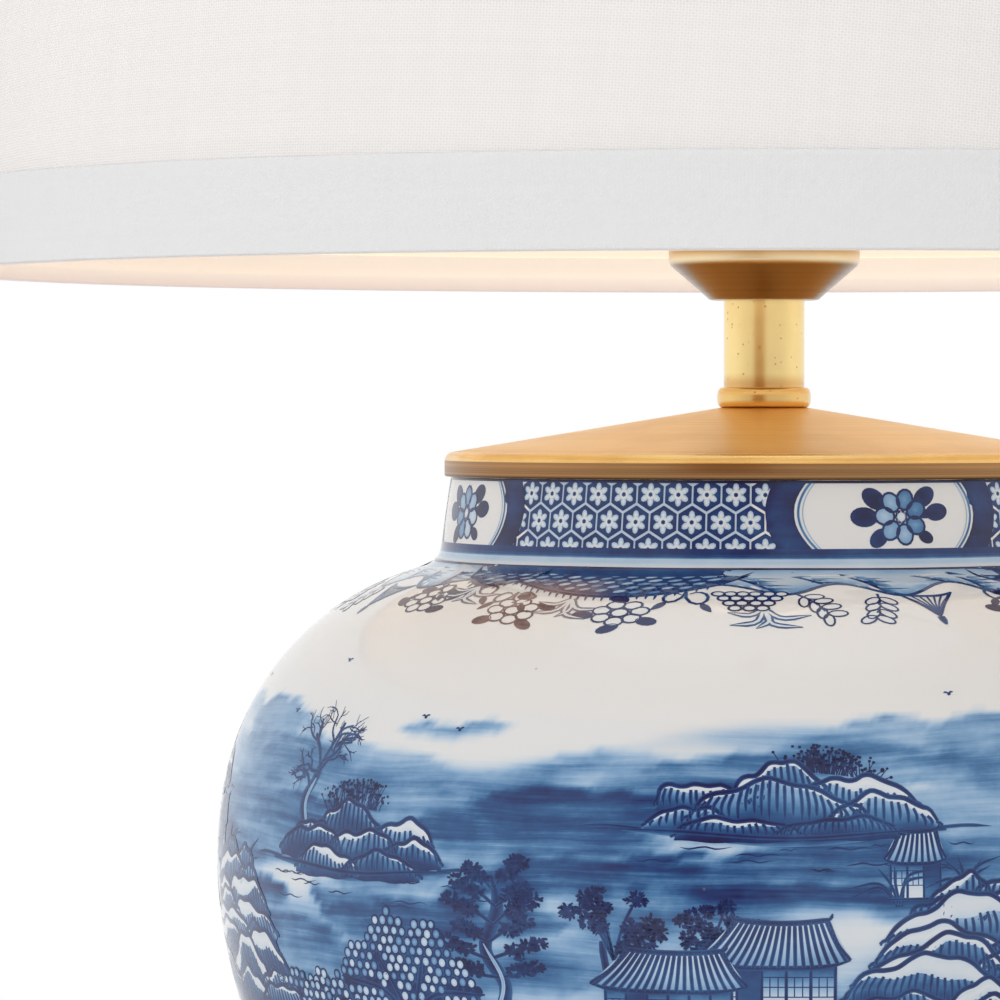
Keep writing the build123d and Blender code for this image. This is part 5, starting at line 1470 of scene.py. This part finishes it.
def turned_metal(name, light, dark, rough, marks, patina, pits=0.0, depth=0.00004, clouds=1.0, lacquer=0.0, shade_below=None,
                 band_tint=None):
    """Metal with the marks of the lathe. rough is its least and most roughness, marks how fine the marks are, patina
    and clouds how much of the dark colour shows in lines and in patches. The last two paint shade on what lies below a
    height, and blend a colour into a narrow band round a height, as for a painted highlight; both in metres."""
    made, tree, shader = finish(name, Metallic=1.0, Coat_Weight=lacquer, Coat_Roughness=0.16, Coat_IOR=1.6)
    where = own_place(tree)
    places = split(tree, where)
    turned = polar(tree, places)
    lines = noise(tree, turned, marks, 3.0, 0.6)
    broad = noise(tree, turned, tuple(m * 0.12 for m in marks), 2.0)
    cloud = noise(tree, where, 22, 4.0, 0.6)
    tarnish = mapped(tree, cloud, 0.42, 0.75, 0.0, patina * clouds)
    share = maths(tree, "MAXIMUM", tarnish, mapped(tree, lines, 0.45, 0.8, 0.0, patina))
    if pits:
        cells = node(tree, "ShaderNodeTexVoronoi", {"Vector": where, "Scale": 620.0}).outputs
        chosen = maths(tree, "LESS_THAN", split(tree, cells["Color"])[0], pits)
        pitted = times(tree, chosen, mapped(tree, cells["Distance"], 0.12, 0.26, 0.8, 0.0))
        share = maths(tree, "MAXIMUM", share, pitted)
    colour = blend_colours(tree, share, light, dark)
    # painted shade: below a height the colour turns darker, streaked by the marks
    if shade_below:
        full, none, tint, most = shade_below
        darker = blend_colours(tree, lines, tint, tuple(0.7 * c for c in tint[:3]) + (1,))
        colour = blend_colours(tree, mapped(tree, places[2], full, none, most, 0.0, smooth=True), colour, darker)
    # a colour blended into a narrow band round a height, mottled by the clouds, such as a painted highlight
    if band_tint:
        height, reach, tint = band_tint
        away = maths(tree, "ABSOLUTE", minus(tree, places[2], height))
        in_band = mapped(tree, away, 0.0, reach, 0.9, 0.0, smooth=True)
        colour = blend_colours(tree, times(tree, in_band, minus(tree, 1.25, cloud), clamp=True), colour, tint)
    colour_from(tree, shader, colour)
    polish = plus(tree, times(tree, lines, 0.6), times(tree, broad, 0.4))
    tree.links.new(mapped(tree, polish, 0.3, 0.7, *rough), shader.inputs["Roughness"])
    bump(tree, shader, plus(tree, lines, times(tree, cloud, 0.6)), depth, 0.6)
    return made


def dress(material, *names):
    """Gives solids of the frame their finish."""
    for name in names:
        slots = nodes[name].material_slots
        if not len(slots):
            nodes[name].data.materials.append(material)
        for place in slots:
            place.material = material
    print(material.name, "on", ", ".join(names))


cap_brass = turned_metal(
    "satin_cap_brass", srgb(244, 206, 144), srgb(208, 156, 94), (0.30, 0.42), (700, 1, 700), 0.5)
foot_brass = turned_metal(
    "aged_foot_brass", srgb(214, 176, 120), srgb(152, 110, 68), (0.26, 0.42), (800, 1, 800), 0.6)
# The tube turns brownish in a narrow band at its foot, just above the collar.
tube_brass = turned_metal(
    "bright_tube_brass", srgb(255, 230, 160), srgb(184, 118, 50), (0.20, 0.30), (90, 1, 90), 0.22,
    pits=0.26, depth=0.00001, lacquer=0.35, band_tint=(0.3835, 0.004, srgb(206, 142, 66)))
collar_brass = turned_metal(
    "polished_collar_brass", srgb(244, 204, 128), srgb(168, 108, 50), (0.16, 0.26), (200, 1, 200), 0.3,
    pits=0.3, depth=0.00001, lacquer=0.3)
# The cup's cone gets painted shade below its corner, and its rounded corner a pale painted highlight.
cup_brass = turned_metal(
    "satin_cup_brass", srgb(212, 178, 122), srgb(160, 124, 78), (0.26, 0.38), (800, 1, 800), 0.45, clouds=0.5,
    lacquer=0.5, shade_below=(0.4192, 0.4210, srgb(146, 108, 62), 0.92), band_tint=(0.4215, 0.0020, srgb(255, 240, 204)))
# The cap's rounded edge: a painted highlight of pale brass, mottled with wear.
edge_wear_and_highlight_brass = turned_metal(
    "wear_and_highlight_edge_brass", srgb(250, 214, 142), srgb(188, 130, 66), (0.20, 0.32), (300, 1, 900), 0.7, clouds=0.8)
dress(foot_brass, "foot")
dress(tube_brass, "neck_tube")

# %% Collar and cup, with their soft edges
def finish_faces(made, *rules):
    """Gives faces another material of the piece, by a rule on the radius and height of their middles in mm."""
    middles = np.empty(len(made.data.polygons) * 3)
    made.data.polygons.foreach_get("center", middles)
    x, y, z = middles.reshape(-1, 3).T / MM
    index = np.zeros(len(z), np.int32)
    for number, (material, rule) in enumerate(rules, 1):
        made.data.materials.append(material)
        index[rule(np.hypot(x, y), z)] = number
    made.data.polygons.foreach_set("material_index", index)
    print(made.name, "faces of each finish:", np.bincount(index).tolist())


collar_foot, collar_head, bore_radius = 376.54, 382.64, 5.4
rise = np.linspace(0, 1, 17)
bulge = 1.35 * (1 - np.abs(2 * rise - 1) ** 3) ** 0.6
barrel = np.stack([12.9 + bulge, collar_foot + rise * (collar_head - collar_foot)], -1)
collar_points, collar_quads = lathe_grid([(bore_radius, collar_foot), *barrel, (bore_radius, collar_head)], 128)
barrel_collar = piece("barrel_collar", collar_points, collar_quads, collar_brass, "lamp")
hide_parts("collar")

cup_floor, cup_corner, cup_lip, cup_sheet, corner_round = (16.3, 409.14), (29.1, 420.24), 435.74, 1.2, 3.2
cone_way = np.array(cup_corner) - cup_floor
cone_way /= np.hypot(*cone_way)
lean_out = math.degrees(math.atan2(cone_way[1], cone_way[0]))
swing = corner_round * math.tan(radians((90 - lean_out) / 2))
corner_centre = (cup_corner[0] - corner_round, cup_corner[1] + swing)
floor_r, floor_z, wall_r, wall_z = *cup_floor, *cup_corner
cup_outline = [(bore_radius, floor_z), (floor_r - 1.0, floor_z), (floor_r - 0.2, floor_z + 0.12)]
cup_outline += [tuple(cup_floor + cone_way * 0.5 + (0.12, 0))]
cup_outline += [tuple(cup_floor + cone_way * reach) for reach in (1.2, 5.0, 9.0, 13.0)]
cup_outline += [tuple(q) for q in arc(corner_centre, corner_round, lean_out - 90, 0, 9)]
cup_outline += [(wall_r, 428.0), (wall_r, cup_lip - 0.5), (wall_r - 0.2, cup_lip - 0.1), (wall_r - 0.6, cup_lip)]
cup_outline += [(wall_r - 1.0, cup_lip - 0.1), (wall_r - cup_sheet, cup_lip - 0.5), (wall_r - cup_sheet, wall_z + 2.2)]
cup_outline += [(wall_r - 2.2, wall_z + 0.6), (floor_r - 0.5, floor_z + cup_sheet), (bore_radius, floor_z + cup_sheet)]
cup_points, cup_quads = lathe_grid(cup_outline, 160)
spun_cup = piece("spun_cup", cup_points, cup_quads, cup_brass, "lamp")
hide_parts("cup")

# %% [markdown]
# ## The cap
# The solid cap is right in its sizes, but a spun cap has a rolled edge and its rim is brushed level. So the cap is
# lathed again on the same outline: its rounded edge gets a painted highlight, and its rim its own brushed finish with
# painted shade, darker than its top, and a painted shadow line at its foot.

# %% Cap, with a brushed rim
cap_bore, cap_flat, cap_radius, cap_sheet, edge_round = 5.35, 13.0, 97.3, 1.4, 3.0
cap_flat_z, cap_slope = 376.54, math.tan(radians(9.35))
cap_edge_z = cap_flat_z - (cap_radius - cap_flat) * cap_slope
cap_foot_z = cap_edge_z - 7.0
# Rim: level brushing, painted shade that makes it darker than the top, and a painted shadow line at its foot over the
# gap to the neck.
shaded_rim_brass = turned_metal(
    "brushed_and_shaded_rim_brass", srgb(178, 134, 90), srgb(66, 44, 30), (0.26, 0.38), (40, 1, 1050), 1.0,
    depth=0.00007, clouds=0.15, shade_below=(0.35575, 0.3570, srgb(58, 40, 28), 0.9))
cap_outline = [(cap_bore, cap_flat_z), (cap_flat, cap_flat_z)]
across_cone = np.linspace(cap_flat, cap_radius - edge_round, 24)[1:]
cap_outline += [(r, cap_flat_z - (r - cap_flat) * cap_slope) for r in across_cone]
cap_outline += [tuple(p) for p in arc((cap_radius - edge_round, cap_edge_z - 2.55), edge_round, 80.65, 0, 12)]
rim_foot = ((0.0, 3.0), (0.0, 0.5), (0.15, 0.15), (0.5, 0.0), (1.0, 0.0), (cap_sheet, 0.3))
cap_outline += [(cap_radius - inward, cap_foot_z + up) for inward, up in rim_foot]
cap_outline += [(cap_radius - inward, cap_edge_z - down) for inward, down in ((cap_sheet, 3.6), (2.2, 2.4), (3.6, 1.5))]
across_cone = np.linspace(cap_radius - 4.6, cap_flat, 12)
cap_outline += [(r, cap_flat_z - 1.42 - (r - cap_flat) * cap_slope) for r in across_cone]
cap_outline += [(cap_bore, cap_flat_z - cap_sheet)]
cap_points, cap_quads = lathe_grid(cap_outline[::-1], 256)
spun_cap = piece("spun_cap", cap_points, cap_quads, cap_brass, "lamp")


def on_rim(r, z):
    return (r > cap_radius - 0.3) & (z < cap_edge_z - 2.3)


def on_edge(r, z):
    inward = r - cap_radius + 3.1
    return (inward > 0) & (z > cap_edge_z - 2.3) & (z > cap_edge_z - 0.9 - 0.55 * inward)


finish_faces(spun_cap, (shaded_rim_brass, on_rim), (edge_wear_and_highlight_brass, on_edge))
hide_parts("cap")

# %% [markdown]
# ## Under the jar
# Felt keeps the foot from scratching a table. It is short wool pressed flat, so it is rough, a little uneven, and its
# cut edge is soft. The board behind it is plain brown fibreboard.

# %% Felt, board and rubber
felt, tree, shader = finish("pressed_felt", Roughness=0.95, Sheen_Weight=0.35, Sheen_Roughness=0.6)
fuzz = noise(tree, own_place(tree), 900, 4.0, 0.7)
patches = noise(tree, own_place(tree), 40)
mottle = plus(tree, times(tree, fuzz, 0.7), times(tree, patches, 0.3))
colour_from(tree, shader, blend_colours(tree, mottle, srgb(28, 38, 34), srgb(70, 82, 76)))
bump(tree, shader, fuzz, 0.0004, 0.8)
felt_radius = 111.0
felt_edge = ((0.5, 0.0), (0.05, 0.35), (0.0, 1.0), (0.1, 1.75), (0.5, 2.0))
felt_outline = [(0.5, 0.0), *[(felt_radius - inward, z) for inward, z in felt_edge], (0.5, 2.0)]
felt_turns = 180
felt_points, felt_quads = lathe_grid(felt_outline, felt_turns, closed=False)
last_ring = (len(felt_outline) - 1) * felt_turns
felt_faces = felt_quads.tolist() + [list(range(felt_turns))[::-1], list(range(last_ring, last_ring + felt_turns))]
felt_disc = piece("felt_disc", felt_points, felt_faces, felt, "lamp")
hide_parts("felt_pad")


def grained(name, dark, light, grain_size, detail, roughness, depth, strength, **settings):
    """A plain stuff with a fine grain of its own: two close colours and the relief that goes with them."""
    made, tree, shader = finish(name, **settings)
    grain = noise(tree, own_place(tree), grain_size, detail, roughness)
    colour_from(tree, shader, blend_colours(tree, grain, dark, light))
    bump(tree, shader, grain, depth, strength)
    return made


board, tree, shader = finish("fibre_board", Roughness=0.8)
fibres = noise(tree, own_place(tree), 300, 5.0, 0.7)
browns = [(0.3, srgb(96, 66, 40)), (0.55, srgb(128, 92, 60)), (0.75, srgb(158, 120, 82))]
colour_from(tree, shader, ramp(tree, fibres, browns))
bump(tree, shader, fibres, 0.0002, 0.6)
dress(board, "bottom_board")
rubber = grained("black_rubber", srgb(24, 24, 25), srgb(46, 46, 47), 600, 3.0, 0.6, 0.0001, 0.5, Roughness=0.6)
dress(rubber, "foot_gasket", "mouth_gasket")

# %% [markdown]
# ## Steel, porcelain and plastic of the lampholder
# The clamping parts are zinc-plated steel, mottled and faintly blue. The lampholder's inside is glazed porcelain, its
# shell polished brass and its switch knob moulded plastic with a fine grain.

# %% Hidden hardware
zinc = turned_metal("zinc_plate", srgb(206, 208, 212), srgb(160, 158, 150), (0.22, 0.4), (300, 20, 300), 0.5)
dress(zinc, "threaded_rod", "lower_washer", "lock_washer", "lower_nut", "cup_washer", "cup_nut", "terminal_screws",
      "bushing_nut")
shell_brass = turned_metal(
    "lacquered_shell_brass", srgb(238, 200, 126), srgb(190, 140, 74), (0.12, 0.22), (600, 1, 600), 0.3)
dress(shell_brass, "holder_cap", "holder_shell", "lower_shade_ring", "upper_shade_ring", "switch_bushing",
      "centre_contact", "screw_shell")
spindle_metal = turned_metal("spindle_metal", srgb(200, 196, 186), srgb(150, 144, 130), (0.2, 0.3), (900, 1, 900), 0.3)
dress(spindle_metal, "switch_spindle")
tin = turned_metal("bulb_tin", srgb(214, 214, 214), srgb(170, 168, 164), (0.18, 0.32), (500, 10, 500), 0.4)
dress(tin, "bulb_screw_cap", "bulb_contact")
porcelain = grained(
    "holder_porcelain", srgb(236, 233, 224), srgb(246, 245, 240), 120, 3.0, 0.5, 0.0002, 0.2, Roughness=0.18, IOR=1.5)
dress(porcelain, "holder_insert")
for name, dark, light, rough, grain_size, dressed in (
    ("knob_plastic", srgb(22, 21, 20), srgb(38, 36, 34), 0.35, 700, ["switch_knob"]),
    ("bushing_plastic", srgb(30, 28, 26), srgb(48, 45, 42), 0.45, 700, ["cord_bushing"]),
    ("bulb_black_glass", srgb(16, 16, 20), srgb(30, 30, 36), 0.1, 700, ["bulb_insulator"]),
    ("bulb_white_plastic", srgb(228, 227, 222), srgb(238, 237, 233), 0.4, 700, ["bulb_collar"]),
    ("white_wire_paint", srgb(226, 225, 220), srgb(236, 235, 231), 0.42, 500,
     ["shade_fitter", "shade_arms", "lower_wire_ring", "upper_wire_ring"]),
):
    dress(grained(name, dark, light, grain_size, 3.0, 0.6, 0.00008, 0.5, Roughness=rough), *dressed)

# %% [markdown]
# ## The bulb
# An opal bulb glows evenly, a touch warmer and dimmer towards its collar. It is the light inside the shade, so its
# own surface gives the light, and nothing else is needed there.

# %% Lit opal globe
opal, tree, shader = finish("lit_opal_glass", Roughness=0.25, Emission_Strength=1.6)
share = mapped(tree, split(tree, own_place(tree))[2], 0.505, 0.535)
tree.links.new(blend_colours(tree, share, (1.0, 0.66, 0.38, 1), (1.0, 0.78, 0.55, 1)), shader.inputs["Emission Color"])
milky = noise(tree, own_place(tree), 60)
colour_from(tree, shader, blend_colours(tree, milky, srgb(246, 240, 228), srgb(252, 248, 240)))
dress(opal, "bulb_globe")

# %% [markdown]
# ## The shade
# A hard-backed shade is a strip of linen glued to a stiff white lining, rolled into a cone and edged with a folded
# trim at the top and the bottom. The linen is cut as an arc from flat cloth, so its threads run straight on the flat
# cut and lean more and more round the cone. The cloth's own map keeps that: it is the flat cut, in metres.

# %% Layers of the shade, in mm
shade_foot, shade_head, shade_out, cloth_inset = 417.04, 717.04, 250.0, 0.75
lean = radians(6.1)


def layer_radius(depth, height):
    return shade_out - depth / cos(lean) - (height - shade_foot) * math.tan(lean)


def rows_and_columns(quads, turns):
    """The row and the column of each face corner. In the last faces of a round the column runs on to turns."""
    row, column = quads // turns, quads % turns
    return row, np.where((column == 0) & (quads[:, :1] % turns == turns - 1), turns, column)


def shade_layer(name, depth, thickness, material):
    """One closed layer of the cone, with the flat cut as its map. The cut's middle is at the front, its seam behind."""
    turns, grain_turn = 256, 0.07
    heights = np.linspace(shade_foot + cloth_inset, shade_head - cloth_inset, 10)
    outline = [(layer_radius(depth, z), z) for z in heights]
    outline += [(layer_radius(depth + thickness, z), z) for z in heights[::-1]]
    points, quads = lathe_grid(outline, turns)
    slant = np.array([r / sin(lean) for r, _ in outline]) * MM
    row, column = rows_and_columns(quads, turns)
    spread = (column / turns * 2 * pi - pi) % (2 * pi)
    spread = np.where(column == turns // 2, np.where(quads[:, :1] % turns >= turns // 2, 0.0, 2 * pi), spread)
    spread = (spread - pi) * sin(lean) + grain_turn
    uv = np.stack([slant[row] * np.sin(spread), slant[row] * np.cos(spread)], -1).reshape(-1, 2)
    print(name, "at the foot, radius in mm:", round(layer_radius(depth, heights[0]), 2))
    return piece(name, points, quads, material, "shade", uv=uv)


def woven(name, pitches, light, dark, depth, glow=None, glow_strength=0.0, twill=0.0, slub=0.5, rough=0.9):
    """Cloth: two sets of threads that cross, each thread a little uneven. pitches are the threads' in metres. glow is
    a painted glow of the cloth itself, standing in for the bulb's light: two heights and the colour at each."""
    made, tree, shader = finish(name, Roughness=rough, Sheen_Weight=0.12, Sheen_Roughness=0.5,
                                Emission_Strength=glow_strength, Specular_IOR_Level=0.2)
    across, along = pitches
    cut = node(tree, "ShaderNodeUVMap", uv_map="cloth").outputs[0]
    uv = split(tree, cut)
    warp = times(tree, uv[0], 2 * pi / across)
    weft = times(tree, plus(tree, uv[1], times(tree, uv[0], twill)), 2 * pi / along)
    over = times(tree, maths(tree, "SINE", warp), maths(tree, "SINE", weft))
    ridges = [times(tree, maths(tree, "COSINE", times(tree, thread, 2.0)), 0.4) for thread in (warp, weft)]
    weave = plus(tree, times(tree, over, 0.22), plus(tree, *ridges))
    thick_warp = noise(tree, cut, (1 / across / 2.5, 8, 1), 2.0, 0.6)
    thick_weft = noise(tree, cut, (8, 1 / along / 2.5, 1), 2.0, 0.6)
    height = plus(tree, weave, times(tree, plus(tree, thick_warp, thick_weft), slub))
    colour_from(tree, shader, blend_colours(tree, mapped(tree, height, -0.6 + slub, 0.6 + slub), dark, light))
    bump(tree, shader, height, depth, 0.7)
    if glow:
        near = mapped(tree, split(tree, own_place(tree))[2], glow[0], glow[1], smooth=True)
        tree.links.new(blend_colours(tree, near, glow[2], glow[3]), shader.inputs["Emission Color"])
    return made


# The linen, the lining and the inner fold of the trims get a warm painted glow for the bulb's light through and on the
# shade.
linen = woven("lit_linen", (0.00086 * 2, 0.00076 * 2), srgb(237, 235, 234), srgb(224, 221, 219), 0.00008,
              (0.43, 0.56, (0.58, 0.52, 0.49, 1), (1.0, 0.83, 0.74, 1)), 0.10)
twill = woven("trim_twill", (0.0007, 0.0009), srgb(241, 241, 241), srgb(226, 226, 226), 0.00008, None, 0.0, 0.55, 0.3)
lining = woven("lit_lining", (0.0012, 0.0012), srgb(250, 243, 232), srgb(244, 236, 224), 0.00003,
               (0.43, 0.52, (1.0, 0.80, 0.61, 1), (0.34, 0.26, 0.19, 1)), 0.42, 0.0, 0.2, 0.6)
lit_twill = woven("lit_trim_twill", (0.0007, 0.0009), srgb(240, 238, 236), srgb(230, 227, 224), 0.00006,
                  (0.4165, 0.4225, (0.82, 0.52, 0.44, 1), (1.0, 0.77, 0.57, 1)), 0.34, 0.55, 0.3)

linen_depth, linen_thickness, lining_depth, lining_thickness = 0.75, 0.7, 1.5, 0.8
cover = shade_layer("linen_cover", linen_depth, linen_thickness, linen)
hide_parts("shade_fabric")
inner_lining = shade_layer("shade_lining", lining_depth, lining_thickness, lining)
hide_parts("shade_liner")

# %% The folded trims
def folded_trim(name, edge, up):
    """Up the outside, round the edge, over the wire and back against the lining. up is -1 for the upper edge."""
    turns = 320
    wire_z = edge + up * 2.75
    wire_r = layer_radius(4.35, wire_z)

    def on_cone(*places):
        return [(layer_radius(depth, edge + up * rise), edge + up * rise) for depth, rise in places]

    def round_wire(start, *places):
        return [(wire_r - inward, start + up * rise) for inward, rise in places]

    outline = on_cone((0.0, 0.9), *[(0.0, rise) for rise in np.linspace(2, 25.2, 9)], (0.12, 25.8), (0.4, 26.0))
    outline += on_cone((0.66, 25.8), (0.7, 24), (0.7, 1.1))
    outline += round_wire(edge, (2.05, 0.72)) + round_wire(wire_z, (2.05, 2.05))
    outline += on_cone((2.35, 7.0), (2.35, 11.7), (2.6, 12.0), (3.0, 11.8), (3.05, 7.4))
    outline += round_wire(wire_z, (2.6, 2.3), (2.75, 1.6)) + round_wire(edge, (2.75, 0.6), (2.55, 0.16), (2.0, 0.0))
    corner = ((0.9, 0.0), (0.35, 0.12), (0.08, 0.45))
    outline += [(layer_radius(depth, edge), edge + up * rise) for depth, rise in corner]
    outline = outline[::up]
    points, quads = lathe_grid(outline, turns)
    steps = np.concatenate([[0], np.cumsum(np.hypot(*np.diff(np.array(outline), axis=0).T))]) * MM
    last = len(outline) - 1
    row, column = rows_and_columns(quads, turns)
    row = np.where((row == 0) & (quads[:, :1] // turns == last), last, row)
    uv = np.stack([column / turns * 2 * pi * shade_out * MM, steps[row]], -1).reshape(-1, 2)
    made = piece(name, points, quads, twill, "shade", uv=uv)
    # the faces that lie against the inside of the shade get the painted glow
    finish_faces(made, (lit_twill, lambda r, z: r < layer_radius(1.5, z)))
    return made, float(steps[-1])


lower_trim, lower_width = folded_trim("lower_trim_band", shade_foot, 1)
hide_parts("lower_trim")
upper_trim, upper_width = folded_trim("upper_trim_band", shade_head, -1)
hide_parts("upper_trim")
print("trim outline, m:", round(lower_width, 4), round(upper_width, 4))
